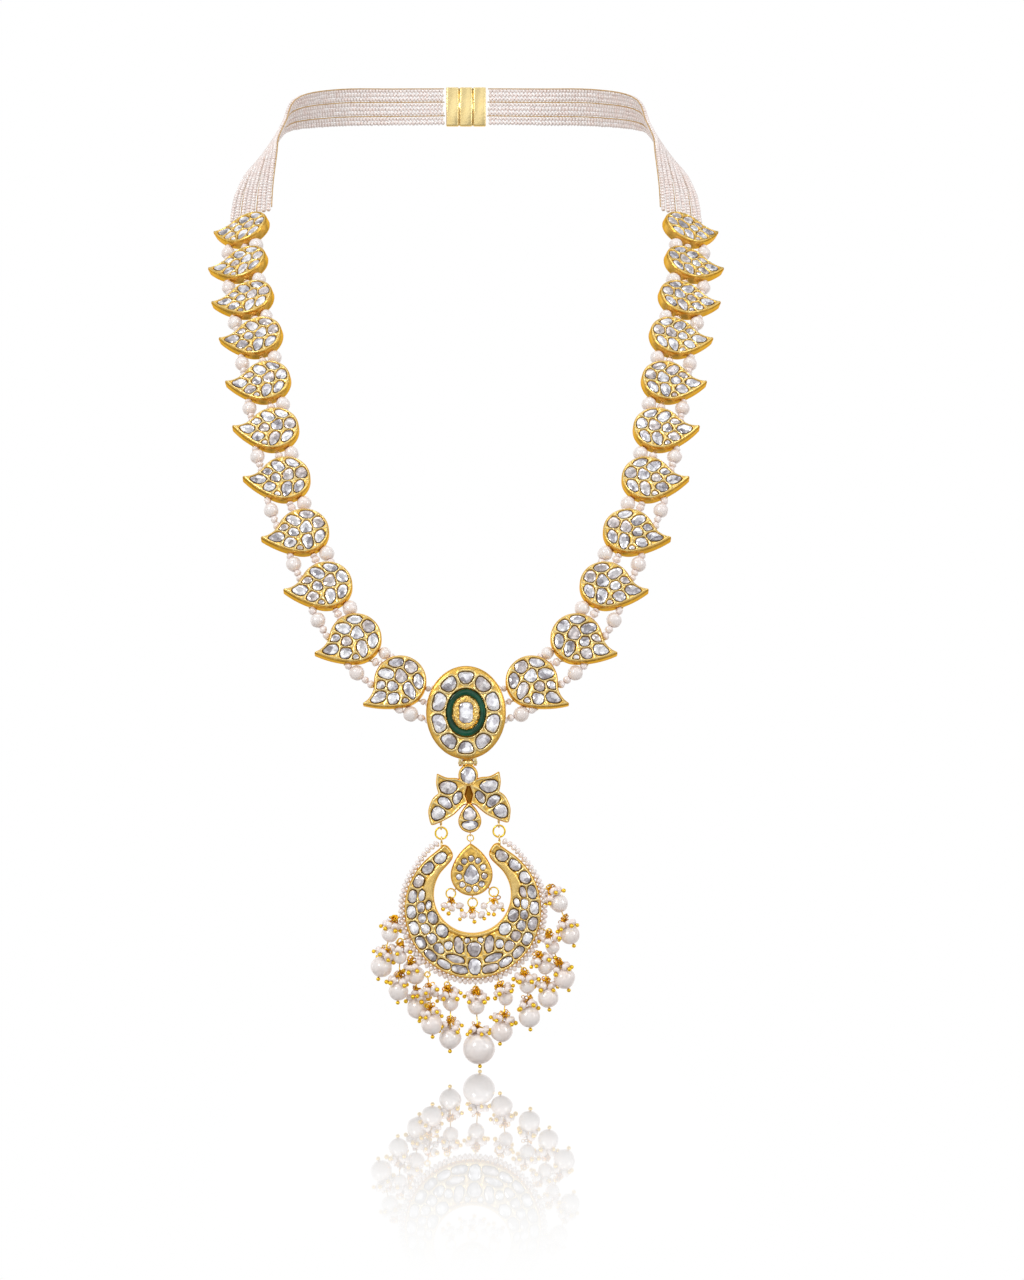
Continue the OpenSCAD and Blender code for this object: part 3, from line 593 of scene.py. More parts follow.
def addStone(bm, outline, chance, level):
    girdle, tint = bm.verts.layers.float["girdle"], bm.verts.layers.float["tint"]
    warm = chance.uniform(0, 1)
    centre = outline.mean(0)
    lean = [wobble(chance, 1) * stoneCut["tilt"] for _ in range(2)]
    for _ in range(2):
        chance.random()  # unused, so that the later draws stay as they are
    rows = []
    for share, height, edge in stoneCut["rings"]:
        made = bmesh.ops.create_circle(bm, segments=len(outline), radius=1)["verts"]
        for v, point in zip(made, outline):
            loose = 0 if share == 1 else wobble(chance, stoneCut["loose"])
            place = centre + (point - centre) * (share + loose)
            drop = (place - centre).dot(lean) if share < 1 else 0
            v.co = (*place, level + height + drop)
            v[girdle], v[tint] = edge, warm
        rows.append(made)
    walls = []
    for low, high in zip(rows, rows[1:]):
        edges = {e for row in (low, high) for v in row for e in v.link_edges
                 if all(w in set(row) for w in e.verts)}
        walls += bmesh.ops.bridge_loops(bm, edges=list(edges))["faces"]
    for row in (rows[0], rows[-1]):
        border = {e for v in row for e in v.link_edges if e.other_vert(v) in set(row)}
        caps = bmesh.ops.contextual_create(bm, geom=list(border))["faces"]
    for v in bmesh.ops.poke(bm, faces=caps)["verts"]:
        peak = [wobble(chance, stoneCut["peak"]) for _ in range(2)]
        v.co += Vector((*peak, chance.uniform(0, stoneCut["poke"])))
        v[tint] = warm
    bmesh.ops.triangulate(bm, faces=walls)


def stoneBunch(outlines, chance, level=0.0, grow=stoneCut["grow"]):
    # the stones run a little under the gold round them
    bm = freshMesh("girdle", "tint")
    for outline in outlines:
        addStone(bm, growOutline(outline, grow), chance, level)
    bmesh.ops.recalc_face_normals(bm, faces=bm.faces[:])
    return asMesh(bm)


# Gold plates with a well for each stone and thin ridges between the wells

plateLook = {
    "step": 0.21, "sink": 0.6, "slope": 0.6, "lip": 1.0, "under": 0.25, "edgeRound": 0.6, "edgeFlat": 0.3,
    # a ridge between two stones, a rim along the edge, and a scallop line round each stone where asked for
    "ridge": 0.3, "ridgeWide": 0.6, "ridgeReach": 2.2, "rimAt": 0.65, "rimRidge": 0.2, "rimWide": 0.42,
    "scallop": None, "scallopWide": 0.5, "dents": 0.06, "dentSize": 0.9, "low": 0.1,
    # painted shade of plain gold, and what a well, a raised line and the rounded edge change in it: more
    # painted shade in a well and on the rounded edge, painted highlight on a raised line
    "plain": 0.34, "wellShade": 0.66, "ridgeShine": 1.5, "edgeShade": 0.25,
    # rings of the side wall from the front edge down: inset, height over the front or over the back, painted
    # shade
    "wall": [(-0.06, -1.2, None, 0.42), (-0.06, None, 0.9, 0.52), (0.25, None, 0.25, 0.5),
             (0.8, None, 0, 0.36)]
}


def gentle(x):
    x = np.clip(x, 0, 1)
    return x * x * (3 - 2 * x)


def bell(x, wide):
    return np.exp(-(x / wide) ** 2)


def roundOff(edge, radius):
    # how far a rounded edge has fallen at a distance from it
    return radius - np.sqrt(np.maximum(radius ** 2 - np.maximum(radius - edge, 0) ** 2, 0))


def relief(points, edge, stones, look):
    # height of the gold over its plane, and its painted shade
    gaps = np.sort(np.array([-depthIn(points, s) for s in stones]), axis=0)
    first, second = gaps[0], gaps[1] if len(gaps) > 1 else gaps[0] + farOff
    well = 1 - gentle(first / look["slope"])
    well *= gentle((edge - look["edgeFlat"]) / (look["lip"] - look["edgeFlat"]))
    ridge = look["ridge"] * bell(second - first, look["ridgeWide"]) * bell(first, look["ridgeReach"])
    rim = look["rimRidge"] * bell(edge - look["rimAt"], look["ridgeWide"] * look["rimWide"])
    if look["scallop"]:
        line = bell(first - look["scallop"], look["ridgeWide"] * look["scallopWide"])
        ridge = np.maximum(ridge * (first < look["scallop"] + 0.2), look["ridge"] * line)
    raised = np.maximum(ridge, rim)
    fall = roundOff(edge, look["edgeRound"])
    dents = look["dents"] * np.array([noise.noise(Vector((*p, 0)) * look["dentSize"]) for p in points])
    height = raised - look["sink"] * well - fall + dents - look["low"]
    height = np.where(first < -0.15, -look["sink"] - look["under"], height)
    sunk = look["plain"] + look["wellShade"] * well ** 1.3 - look["ridgeShine"] * raised
    sunk += look["edgeShade"] * fall / look["edgeRound"]
    return height, np.clip(sunk, 0, 1)


def goldPlate(outline, stones, thick, look=plateLook, shape=None):
    # starts as a grid that is cut to the outline; shape may change the heights
    bm = freshMesh("sunk")
    paintedShadeLayer = bm.verts.layers.float["sunk"]
    low, high = outline.min(0) - look["step"], outline.max(0) + look["step"]
    size, middle = high - low, (low + high) / 2
    across, up = (int(round(s / look["step"])) for s in size)
    bmesh.ops.create_grid(bm, x_segments=across, y_segments=up, size=0.5,
                          matrix=shift(*middle, 0) @ stretch(*size, 1))
    edge = depthIn(np.array([v.co[:2] for v in bm.verts]), outline)
    outside = [v for v, e in zip(bm.verts, edge) if e < -0.3 * look["step"]]
    bmesh.ops.delete(bm, geom=outside, context="VERTS")
    bmesh.ops.delete(bm, geom=[v for v in bm.verts if not v.link_faces], context="VERTS")
    border = [v for v in bm.verts if v.is_boundary]
    _, foot = measure(np.array([v.co[:2] for v in border]), outline)
    for v, place in zip(border, foot):
        v.co = (*place, 0)
    inner = [v for v in bm.verts
             if not v.is_boundary and any(e.other_vert(v).is_boundary for e in v.link_edges)]
    for _ in range(2):
        bmesh.ops.smooth_vert(bm, verts=inner, factor=0.5, use_axis_x=True, use_axis_y=True, use_axis_z=False)
    points = np.array([v.co[:2] for v in bm.verts])
    edge = depthIn(points, outline)
    heights, sunk = relief(points, np.maximum(edge, 0), stones, look)
    if shape:
        heights, sunk = shape(points, edge, heights, sunk)
    # each point gets its height and its painted shade
    for v, height, dark in zip(bm.verts, heights, sunk):
        v.co.z = height
        v[paintedShadeLayer] = dark
    addWall(bm, outline, thick, look["wall"])
    bmesh.ops.recalc_face_normals(bm, faces=bm.faces[:])
    return asMesh(bm)


def addWall(bm, outline, thick, steps):
    # from the front edge down, and then the back; each ring gets its own painted shade
    paintedShadeLayer = bm.verts.layers.float["sunk"]
    edges = [e for e in bm.edges if e.is_boundary]
    before = 0
    for inset, fromFront, fromBack, dark in steps:
        made = bmesh.ops.extrude_edge_only(bm, edges=edges)["geom"]
        verts = [g for g in made if isinstance(g, bmesh.types.BMVert)]
        edges = [g for g in made if isinstance(g, bmesh.types.BMEdge) and g.is_boundary]
        places = np.array([v.co[:2] for v in verts])
        height = fromFront if fromBack is None else fromBack - thick
        for v, place, way in zip(verts, places, inwardOf(places, outline)):
            v.co = (*(place + way * (inset - before)), height)
            v[paintedShadeLayer] = dark
        before = inset
    bmesh.ops.triangle_fill(bm, use_beauty=True, use_dissolve=False, edges=edges)


def inwardOf(places, outline, probe=0.05):
    # unit way towards the inside of the outline at each place
    steps = np.array([[probe, 0], [0, probe]])
    rise = np.column_stack([depthIn(places + s, outline) - depthIn(places - s, outline) for s in steps])
    return rise / np.maximum(np.linalg.norm(rise, axis=1, keepdims=True), 1e-9)


# Paisley links

links = {
    "bodyRadius": 9.4, "thick": 4.6, "tip": (-15.9, 3.9), "tail": (235, 499), "blunt": 1.3,
    "middle": (-2, 0.5),
    # from the shoulder down: x, height over the oval's centre, lean back, turn outward, roll
    "places": [
        (-91, 193, 43, 34, 17), (-90.5, 176.5, 42, 28, 22), (-87, 160.5, 40, 20, 20),
        (-82.5, 144, 35, 15, 16), (-78.5, 125.5, 33, 9, 14), (-74.5, 106.5, 31, 3, 9),
        (-69.5, 87, 29, 0, 11), (-62, 66.5, 28, 0, 23), (-53, 46.5, 25, 0, 20), (-42, 26.5, 19, 0, 34),
        (-25.5, 10.5, 13, 0, 45)],
    # across the link, where it comes out below and above
    "channels": [(-8, -5.6, 5.9), (0, -9.4, 9.4), (4.8, -8.1, 8.1)], "channelDepth": -3.35,
    "stones": [
        (3.7, 6, 4.6, 2.7, -35, 0), (-1.9, 5.4, 5.4, 3.1, -50, 0.25), (6.3, 1, 4, 3.8, 20, 0),
        (4.5, -4.7, 4.6, 2.9, 52, 0), (1.4, 1, 4.3, 3.8, 65, -0.2), (-3.6, 0.3, 3.4, 3, 40, 0.2),
        (-6.7, 4.1, 3.8, 2.2, -15, 0.2), (-10, 1.2, 5, 3.2, -25, 0.25), (-6.4, -3.1, 4.4, 3.2, 35, 0.2),
        (-0.2, -5, 5.6, 3.1, 68, 0.2), (-4, -6.6, 1.8, 1.8, 0, 0)],
    "designs": 4, "seed": 40, "loose": 0.18, "stretch": 0.05, "turn": 8,
    # collar of a channel: radius, wire, radius of the floor, height of the floor; the floor is a dark disc,
    # painted shade for the inside of the hole
    "mouth": (0.72, 0.34, 0.68, 0.03)
}


def linkDepth(i):
    if i == len(links["places"]) - 1:
        return 0.5
    (x0, z0, back0, out0, _), (x1, z1, back1, out1, _) = links["places"][i:i + 2]
    back, out = math.radians((back0 + back1) / 2), math.radians((out0 + out1) / 2)
    return linkDepth(i + 1) + math.tan(back) / math.cos(out) * (z0 - z1) - math.tan(out) * (x0 - x1)


def linkPlace(i):
    # from the plane of a link to the worn necklace, in millimetres
    x, z, back, out, roll = links["places"][i]
    return (shift(x, linkDepth(i) - worn["reach"], z - worn["drop"]) @ turn("Z", -out) @ turn("X", 90 - back)
            @ turn("Z", roll) @ shift(-links["middle"][0], -links["middle"][1], 0))


def linkDesign(number):
    # one gold plate and its stones, in the plane of the link
    chance = random.Random(links["seed"] + number)
    outline = tearOutline(links["bodyRadius"], links["tip"], *links["tail"], links["blunt"])
    stones = []
    for x, y, long, wide, way, swell in links["stones"]:
        aside = [wobble(chance, links["loose"]) for _ in range(2)]
        grow = chance.uniform(1 - links["stretch"], 1 + links["stretch"])
        way += wobble(chance, links["turn"])
        stones.append((x + aside[0], y + aside[1], long * grow, wide / grow, way, swell))
    outlines = fitStones(stones, outline, chance, stoneFit)
    return goldPlate(outline, outlines, links["thick"]), stoneBunch(outlines, chance)


def mouthShape():
    # collar and dark floor of a drilled channel, facing up z; the floor is a flat near-black disc, painted
    # shade where the hole would go on
    radius, wire, floor, height = links["mouth"]
    bm = bmesh.new()
    addCopy(bm, ringShape(radius, wire, 14, 6))
    disc = bmesh.ops.create_circle(bm, cap_ends=True, segments=14, radius=floor, matrix=shift(0, 0, height))
    for face in {f for v in disc["verts"] for f in v.link_faces}:
        face.material_index = 1
    return asMesh(bm)


def makeLinks():
    designs = [linkDesign(k) for k in range(links["designs"])]
    mouth = mouthShape()
    for side, mirror in sides.items():
        stones = freshMesh("girdle", "tint")
        for i in range(len(links["places"])):
            gold, cut = designs[(i * 3 + (side == "right")) % links["designs"]]
            place = mirror @ linkPlace(i)
            bm = freshMesh("sunk")
            addCopy(bm, gold)
            for x, low, high in links["channels"]:
                for y, way in ((low, 90), (high, -90)):
                    addCopy(bm, mouth, shift(x, y, links["channelDepth"]) @ turn("X", way))
            number = f"{side[0]}{i + 1:02d}"
            keep(f"gold_link_{number}", bm, "gold", "necklace", [f"link_{number}"], toMetres @ place,
                 ["hole"])
            addCopy(stones, cut, place)
        keep(f"link_polki_{side}", stones, "stone", "necklace", [f"link_stones_{side}"], toMetres)


makeLinks()
print("links set with stones")


# Pearls between the links, on three threads a side

spacers = {
    # by channel: size of the pearl, its shift up the thread, its flattening; size and place on the last gap
    "pearl": [5.4, 3.1, 5.4], "lift": [1.2, 0.2, 1.3], "flat": [1, 0.8, 1],
    "last": [(5.5, 0.57), (2.4, 0.62), (2.1, 0.77)],
    # sizes that differ, by gap and channel
    "tight": {(2, 2): 4.6, (9, 2): 4.4},
    "ovalEnds": [(-12.6, -3.2), (-12.8, 3), (-10.3, 8.4)], "ovalEndDepth": -1.2,
    "seedWide": 2.9, "seedOverlap": 0.52, "leastSeed": 0.9, "mostSeed": 2.3,
    "seeds": {"left": 11, "right": 12}
}


def linkSpot(i, x, y, z):
    return linkPlace(i) @ Vector((x, y, z))


def threadGaps(channel):
    # bare stretches of a thread, from the shoulder down: start and end
    x, low, high = links["channels"][channel]
    count = len(links["places"])
    rows = []
    for i in range(count):
        start = linkSpot(i, x, low, links["channelDepth"])
        if i < count - 1:
            end = linkSpot(i + 1, x, high, links["channelDepth"])
        else:
            across, up = spacers["ovalEnds"][channel]
            end = Vector((across, -worn["reach"] - spacers["ovalEndDepth"], up - worn["drop"]))
        rows.append((start, end))
    return rows


def makeSpacers():
    for side, mirror in sides.items():
        chance = random.Random(spacers["seeds"][side])
        pearls, beads, seeds = bmesh.new(), bmesh.new(), bmesh.new()
        for channel in range(3):
            flat = spacers["flat"][channel]
            gaps = threadGaps(channel)
            for i, (start, end) in enumerate(gaps):
                long = (end - start).length
                if i == len(gaps) - 1:
                    size, share = spacers["last"][channel]
                    far = long * (1 - share)
                else:
                    size = spacers["tight"].get((i, channel), spacers["pearl"][channel])
                    far = max(size / 2 + 0.15, long / 2 - spacers["lift"][channel])
                at = start.lerp(end, far / long)
                shape = chance.choice(pearlShapes if size > 3 else seedShapes)
                place = aim(at, end) @ turn("Z", chance.uniform(0, 360))
                spread = [size / 2 * chance.uniform(1.01, 1.06) for _ in range(3)]
                spread[2] *= flat
                addCopy(beads if channel == 1 else pearls, shape, mirror @ place @ stretch(*spread))
                for foot in (start, end):
                    addSeeds(seeds, mirror, chance, foot, at, size / 2 * flat)
        keep(f"link_pearls_{side}", pearls, "pearl", "necklace", [f"spacer_pearls_{side}"], toMetres)
        keep(f"link_beads_{side}", beads, "seed", "necklace", [f"middle_beads_{side}"], toMetres)
        keep(f"link_seeds_{side}", seeds, "seed", "necklace", (), toMetres)


def addSeeds(bm, mirror, chance, start, at, radius):
    # seed pearls that fill the thread between a link and its pearl
    room = (at - start).length - radius
    if room < spacers["leastSeed"]:
        return
    count = max(1, round(room / spacers["mostSeed"]))
    thick = room / count
    way = (at - start).normalized()
    for k in range(count):
        middle = start + way * thick * (k + 0.5)
        wide = spacers["seedWide"] / 2 * chance.uniform(0.9, 1.05)
        addCopy(bm, chance.choice(seedShapes),
                mirror @ aim(middle, at) @ stretch(wide, wide, thick * spacers["seedOverlap"]))


makeSpacers()
print("pearls strung between the links")


# Bands of seed pearl strands

band = {
    # nape to the first link: x, y, z, turn outward and lean back of its face
    "route": [
        (-9.5, 1.3, 0, 180, 0), (-33, -3, -1, 157, 4), (-56, -17, -4, 132, 12), (-73.8, -39, -10.9, 105, 25),
        (-79, -52, -21.4, 90, 33), (-83.5, -64, -31.2, 76, 38), (-85.2, -76, -38.9, 58, 42),
        (-87.1, -90, -51.5, 42, 43)],
    "foot": (-0.6, 10.05, -2.4), "steps": 24, "pitch": 1.62, "wide": 1.9, "thick": 2.0,
    "strands": [-7.05, -5.2, -2.8, -0.95, 0.9, 3.3, 5.15, 7.0], "cords": [-4.0, 2.1, 7.95], "cord": 0.5,
    "cordDepth": 0.25,
    # wider by this share towards the first link: share, where it starts, over how much of the band
    "fan": (0.2, 0.62, 0.3), "seeds": {"left": 21, "right": 22}
}


def bandFrames():
    # even steps along the band: middle, way along, way across, face
    foot = linkSpot(0, *band["foot"])
    rows = band["route"] + [(*foot, links["places"][0][3], links["places"][0][2])]
    fine = smoothCurve(rows, band["steps"])
    along = np.concatenate([[0], np.cumsum(np.linalg.norm(np.diff(fine[:, :3], axis=0), axis=1))])
    count = int(along[-1] / band["pitch"])
    places = np.linspace(0, along[-1], count + 1)
    even = np.column_stack([np.interp(places, along, fine[:, k]) for k in range(5)])
    fan, fanFrom, fanOver = band["fan"]
    frames = []
    for k in range(count + 1):
        way = Vector(even[max(k - 1, 0), :3] - even[min(k + 1, count), :3]).normalized()
        out, back = math.radians(even[k, 3]), math.radians(even[k, 4])
        face = Vector((-math.sin(out) * math.cos(back), -math.cos(out) * math.cos(back), math.sin(back)))
        face = (face - face.dot(way) * way).normalized()
        wider = 1 + fan * gentle((k / count - fanFrom) / fanOver)
        frames.append((Vector(even[k, :3]), way, way.cross(face) * wider, face))
    return frames


def makeBands():
    bead = ballShape(8, 7, 0.1, 3, 0.3)
    frames = bandFrames()
    for side, mirror in sides.items():
        chance = random.Random(band["seeds"][side])
        beads, cords = bmesh.new(), bmesh.new()
        for offset in band["strands"]:
            slide = chance.uniform(0.55, 1)
            for (at, way, across, face), (after, *_) in zip(frames, frames[1:]):
                middle = at.lerp(after, slide) + across * (offset + wobble(chance, 0.08)) + face * 0.1
                basis = Matrix((across.normalized(), face, way)).transposed().to_4x4()
                size = chance.uniform(0.93, 1.03) / 2
                spin = turn("Z", chance.uniform(0, 90))
                spread = stretch(band["wide"] * size, band["thick"] * size, band["pitch"] / 2)
                addCopy(beads, bead, mirror @ shift(*middle) @ basis @ spin @ spread)
        for offset in band["cords"]:
            ends = [at + across * offset - face * band["cordDepth"] for at, _, across, face in frames[::3]]
            for start, end in zip(ends, ends[1:]):
                addRod(cords, mirror @ start, mirror @ end, band["cord"])
        keep(f"seed_strands_{side}", beads, "seed", "necklace", [f"seed_band_{side}"], toMetres)
        keep(f"strand_cords_{side}", cords, "thread", "necklace", (), toMetres)


makeBands()
print("bands of seed pearls strung")


# Oval piece

oval = {
    "a": 14.3, "b": 16.7, "thick": 5, "enamelA": 7.0, "enamelB": 8.6, "enamelSwell": 0.62, "enamelAt": -0.85,
    "colletA": 5.1, "colletB": 6.2, "ring": (10.3, 13.0, 5.2, 3.6), "count": 10, "heart": 0.9,
    # centre stone: width, height, corner; its height over the plane and how far it grows under the gold
    "centre": (4.9, 7.4, 1.7), "centreAt": 0.75, "centreGrow": 0.08,
    "fit": {**stoneFit, "rays": 16, "grow": 1.5, "between": 1.7, "margin": 2.1, "loose": 0.02},
    "pinAt": -18.1, "pin": 1.1, "pinReach": 0.2, "cheekIn": 2.15, "cheekThick": 1.1, "cheekRadius": 1.2,
    "lug": (1.5, 2.8), "lugAt": (2, -0.2),
    "look": {**plateLook, "step": 0.2, "scallop": 0.66, "lip": 1.3, "rimAt": 0.1, "rimRidge": 0.0,
             "edgeRound": 1.3, "slope": 0.5, "ridge": 0.36, "ridgeWide": 0.52}
}


def ringRow(a, b, long, wide, count):
    # stones round an ellipse from its top, each along the line
    rows = []
    for k in range(count):
        x, y = spoke(90 + 360 * k / count)
        rows.append((a * x, b * y, long, wide, math.degrees(math.atan2(b * x, -a * y)), 0))
    return rows


def ovalShape(points, edge, heights, sunk):
    # a moat for the enamel inside a thin ridge, and the raised gold round the centre stone; the ridge gets
    # painted highlight, and the gold round the centre stone painted shade that deepens next to the stone
    moat = depthIn(points, ellipseOutline(oval["enamelA"] + 0.25, oval["enamelB"] + 0.25))
    heart = depthIn(points, ellipseOutline(oval["colletA"], oval["colletB"]))
    stone = depthIn(points, blockOutline(*oval["centre"]))
    ridge = 0.42 * bell(moat + 0.32, 0.28)
    heights = np.where(moat > -0.6, np.maximum(heights, -0.25) + ridge, heights + ridge)
    sunk = np.where(moat > -0.6, 0.35, sunk) - 0.8 * ridge
    heights = np.where(moat > 0, oval["enamelAt"], heights)
    sunk = np.where(moat > 0, 0.8, sunk)
    dome = 0.85 * gentle(heart / 1.0) - 0.45 * gentle((stone + 0.35) / 0.35)
    rough = np.array([noise.noise(Vector((*p, 3)) * 1.9) for p in points]) * 0.3
    heights = np.where(heart > 0, dome + rough - 0.05, heights)
    sunk = np.where(heart > 0, 0.2 + 0.6 * gentle((stone + 0.3) / 0.3) - rough, sunk)
    return heights, np.clip(sunk, 0, 1)


def makeOval():
    chance = random.Random(31)
    face = ovalPlace @ shift(0, 0, oval["thick"] / 2)
    outline = ellipseOutline(oval["a"], oval["b"], 160)
    heart = ellipseOutline(oval["enamelA"] + oval["heart"], oval["enamelB"] + oval["heart"])
    stones = fitStones(ringRow(*oval["ring"], oval["count"]), outline, chance, oval["fit"], heart)
    bm = freshMesh("sunk")
    addCopy(bm, goldPlate(outline, stones, oval["thick"], oval["look"], ovalShape), face)
    addHinge(bm)
    keep("oval_gold", bm, "gold", "necklace", ["oval_frame"])
    keep("oval_polki", stoneBunch(stones, chance), "stone", "necklace", ["oval_stones"], face)
    centre = stoneBunch([blockOutline(*oval["centre"])], chance, oval["centreAt"], oval["centreGrow"])
    keep("centre_polki", centre, "stone", "necklace", ["oval_centre_stone"], face)
    sunken = face @ shift(0, 0, oval["enamelAt"])
    keep("enamel_ring", enamelShape(), "enamel", "necklace", ["oval_enamel"], sunken)


def addHinge(bm):
    # two cheeks and the pin that carries the connector, under a lug
    radius, thick = oval["cheekRadius"], oval["cheekThick"]
    outside = oval["cheekIn"] + thick
    pinPlace = hungPlace @ shift(0, oval["pinAt"], 0)
    for side in (-1, 1):
        cheek = bmesh.new()
        addDrum(cheek, 24, radius, radius, thick, turn("Y", 90))
        bmesh.ops.create_cube(cheek, size=1,
                              matrix=shift(0, radius, 0) @ stretch(thick, 2 * radius, 2 * radius))
        bevelAll(cheek, 0.15, 2)
        addCopy(bm, asMesh(cheek), pinPlace @ shift(side * (outside - thick / 2), 0, 0))
    high, deep = oval["lug"]
    addBlock(bm, pinPlace @ shift(0, *oval["lugAt"]), (2 * (outside - 0.1), high, deep), 0.2)
    reach = outside + oval["pinReach"]
    pin = bmesh.new()
    addRod(pin, (-reach, 0, 0), (reach, 0, 0), oval["pin"])
    addCopy(bm, asMesh(pin), pinPlace)


def enamelShape():
    # ring with a rounded face, spun as a circle and drawn out to the oval
    circle = 10
    wide = oval["enamelA"] - oval["colletA"] + 0.4
    middle = ((oval["enamelA"] + oval["colletA"]) / 2, (oval["enamelB"] + oval["colletB"]) / 2)
    ring = ringShape(circle, wide, 72, 16)
    for v in ring.vertices:
        far = math.hypot(v.co.x, v.co.y)
        off = far - circle
        high = oval["enamelSwell"] * wide / 2 * (abs(v.co.z) / (wide / 2)) ** 0.55 * math.copysign(1, v.co.z)
        v.co = (v.co.x / far * (middle[0] + off), v.co.y / far * (middle[1] + off), high)
    return ring


makeOval()
print("oval piece set")


# Rings and other wire work, in the plane of the lower pieces

rings = {
    "fineEye": 0.55, "fineWire": 0.4, "fineStalk": 0.64, "eye": 0.9, "eyeWire": 0.6, "stalk": 0.9, "gap": 0.1,
    "root": 0.8
}


def addRing(bm, at, facing, radius, wire):
    way = Vector(facing).to_track_quat("Z", "Y").to_matrix().to_4x4()
    shape = ringShape(radius, wire, 20, 8)
    addCopy(bm, shape, shift(*at) @ way)
    bpy.data.meshes.remove(shape)


def addFineRing(bm, at, facing=(1, 0, 0)):
    addRing(bm, at, facing, rings["fineEye"], rings["fineWire"])


def addEyes(bm, plate, hooks, rows):
    # a small ring on a stalk at the rim of a round plate for each hook; rows start with their angle
    middle = Vector((0, plate["centre"], 0))
    out = hooks["hookOut"] - hooks["hook"] - rings["gap"]
    for angle, *_ in rows:
        way = Vector((*spoke(angle), 0))
        addFineRing(bm, middle + way * out, (-way.y, way.x, 0))
        root, end = plate["radius"] - rings["root"], out - rings["fineEye"]
        addRod(bm, middle + way * root, middle + way * end, rings["fineStalk"])


def addEyePair(bm, place, stalk):
    # a ring on each side, on a stalk up or down
    x, y = place
    way = math.copysign(1, stalk)
    for side in (-x, x):
        addRing(bm, (side, y, 0), (1, 0, 0), rings["eye"], rings["eyeWire"])
        start, end = y + way * (rings["eye"] - 0.1), y + way * rings["eye"] + stalk
        addRod(bm, (side, start, 0), (side, end, 0), rings["stalk"])


# Connector between the oval and the crescent

connector = {
    "thick": 3, "rise": 0.3,
    "top": [(-11.2, -21.6), (-7.8, -23.2), (-4, -23.6), (0, -25.2)],
    "bottom": [(0, -33.0), (-2.0, -33.3), (-3.9, -35.0), (-6, -36.8), (-9, -38.4), (-12.6, -39.9),
               (-13.9, -40)],
    "side": [(-13.9, -40), (-14.5, -38), (-14.7, -34.6), (-13.1, -30.7), (-10.9, -28.8)],
    "shoulder": [(-10.9, -28.8), (-11.6, -25.4), (-11.2, -21.6)],
    "stones": [(-7.6, -26.7, 5.2, 3.2, -8, 0.1), (-4.2, -30.6, 3.4, 2, 62, 0.1),
               (-8.7, -32.2, 3.9, 2.6, -36, 0), (-11.3, -35.8, 4.2, 3.5, 45, 0.1)],
    # raised round and pear on the middle line: place, half width and height, stones
    "round": (-22.7, 3.5, 3.9, [(0, -22.7, 5.2, 4.1, 90, 0)]),
    "pear": (-39.1, 4.1, 6.8, [(0, -36.5, 3.7, 3.3, 270, 0.2), (0, -40.6, 4.6, 2.8, 0, 0)]),
    "fit": {**stoneFit, "grow": 1.35, "between": 1.0, "margin": 1.25},
    "colletFit": {**stoneFit, "grow": 1.35, "between": 0.35, "margin": 0.95},
    "barrelAt": -18.1, "barrel": 2.4, "barrelReach": 1.95, "neck": (0.9, 1.2, 2.6),
    "eyeAt": (10.4, -40.8), "stalk": 1.5, "smallEyeAt": -43.9, "smallEye": 0.6,
    # the sunk diamond between the wings: height of its middle, half width, half height
    "diamond": (-29.6, 1.5, 5),
    "look": {**plateLook, "rimAt": 0.5, "rimRidge": 0.34, "ridge": 0.34, "edgeRound": 0.45, "sink": 0.7,
             "lip": 0.8},
    "colletLook": {**plateLook, "step": 0.2, "rimAt": 0.5, "rimRidge": 0.12, "edgeRound": 0.5, "slope": 0.55}
}


def diamondShape(points, edge, heights, sunk):
    # the sunk diamond gets painted shade, and the ridge round it a painted highlight
    at, wide, high = connector["diamond"]
    inside = 1 - np.abs(points[:, 0]) / wide - np.abs(points[:, 1] - at) / high
    ridge = 0.2 * bell(inside + 0.3, 0.25)
    deep = gentle((inside + 0.1) / 0.4)
    return heights * (1 - deep) - 1.1 * deep + ridge, np.clip(sunk * (1 - deep) + 0.95 * deep - ridge, 0, 1)


def pearOutline(radius, height):
    return tearOutline(radius, (0, height), 160, 380, 0.3, 60, 18)


def makeConnector():
    chance = random.Random(51)
    front = connector["thick"] / 2
    left = np.vstack([smoothCurve(connector["bottom"], 10), smoothCurve(connector["side"], 10)[1:],
                      smoothCurve(connector["shoulder"], 8)[1:], smoothCurve(connector["top"], 10)[1:]])
    outline = np.vstack([left, (left * (-1, 1))[::-1][1:-1]])
    flat = fitStones(connector["stones"] + flipStones(connector["stones"]), outline, chance, connector["fit"])
    bm = freshMesh("sunk")
    plate = goldPlate(outline, flat, connector["thick"], connector["look"], diamondShape)
    addCopy(bm, plate, shift(0, 0, front))
    raised, thick, level = [], connector["thick"] + connector["rise"], front + connector["rise"]
    for name, shape in (("round", ellipseOutline), ("pear", pearOutline)):
        at, a, b, stones = connector[name]
        rim = shape(a, b) + (0, at)
        fitted = fitStones(stones, rim, chance, connector["colletFit"])
        addCopy(bm, goldPlate(rim, fitted, thick, connector["colletLook"]), shift(0, 0, level))
        raised += fitted
    addBarrel(bm)
    addEyePair(bm, connector["eyeAt"], connector["stalk"])
    addRing(bm, (0, connector["smallEyeAt"], 0), (1, 0, 0), connector["smallEye"], rings["fineWire"])
    keep("connector_gold", bm, "gold", "connector", ["connector"], hungPlace)
    bm = freshMesh("girdle", "tint")
    for outlines, height in ((flat, front), (raised, level)):
        addCopy(bm, stoneBunch(outlines, chance, height))
    keep("connector_polki", bm, "stone", "connector", ["connector_stones"], hungPlace)


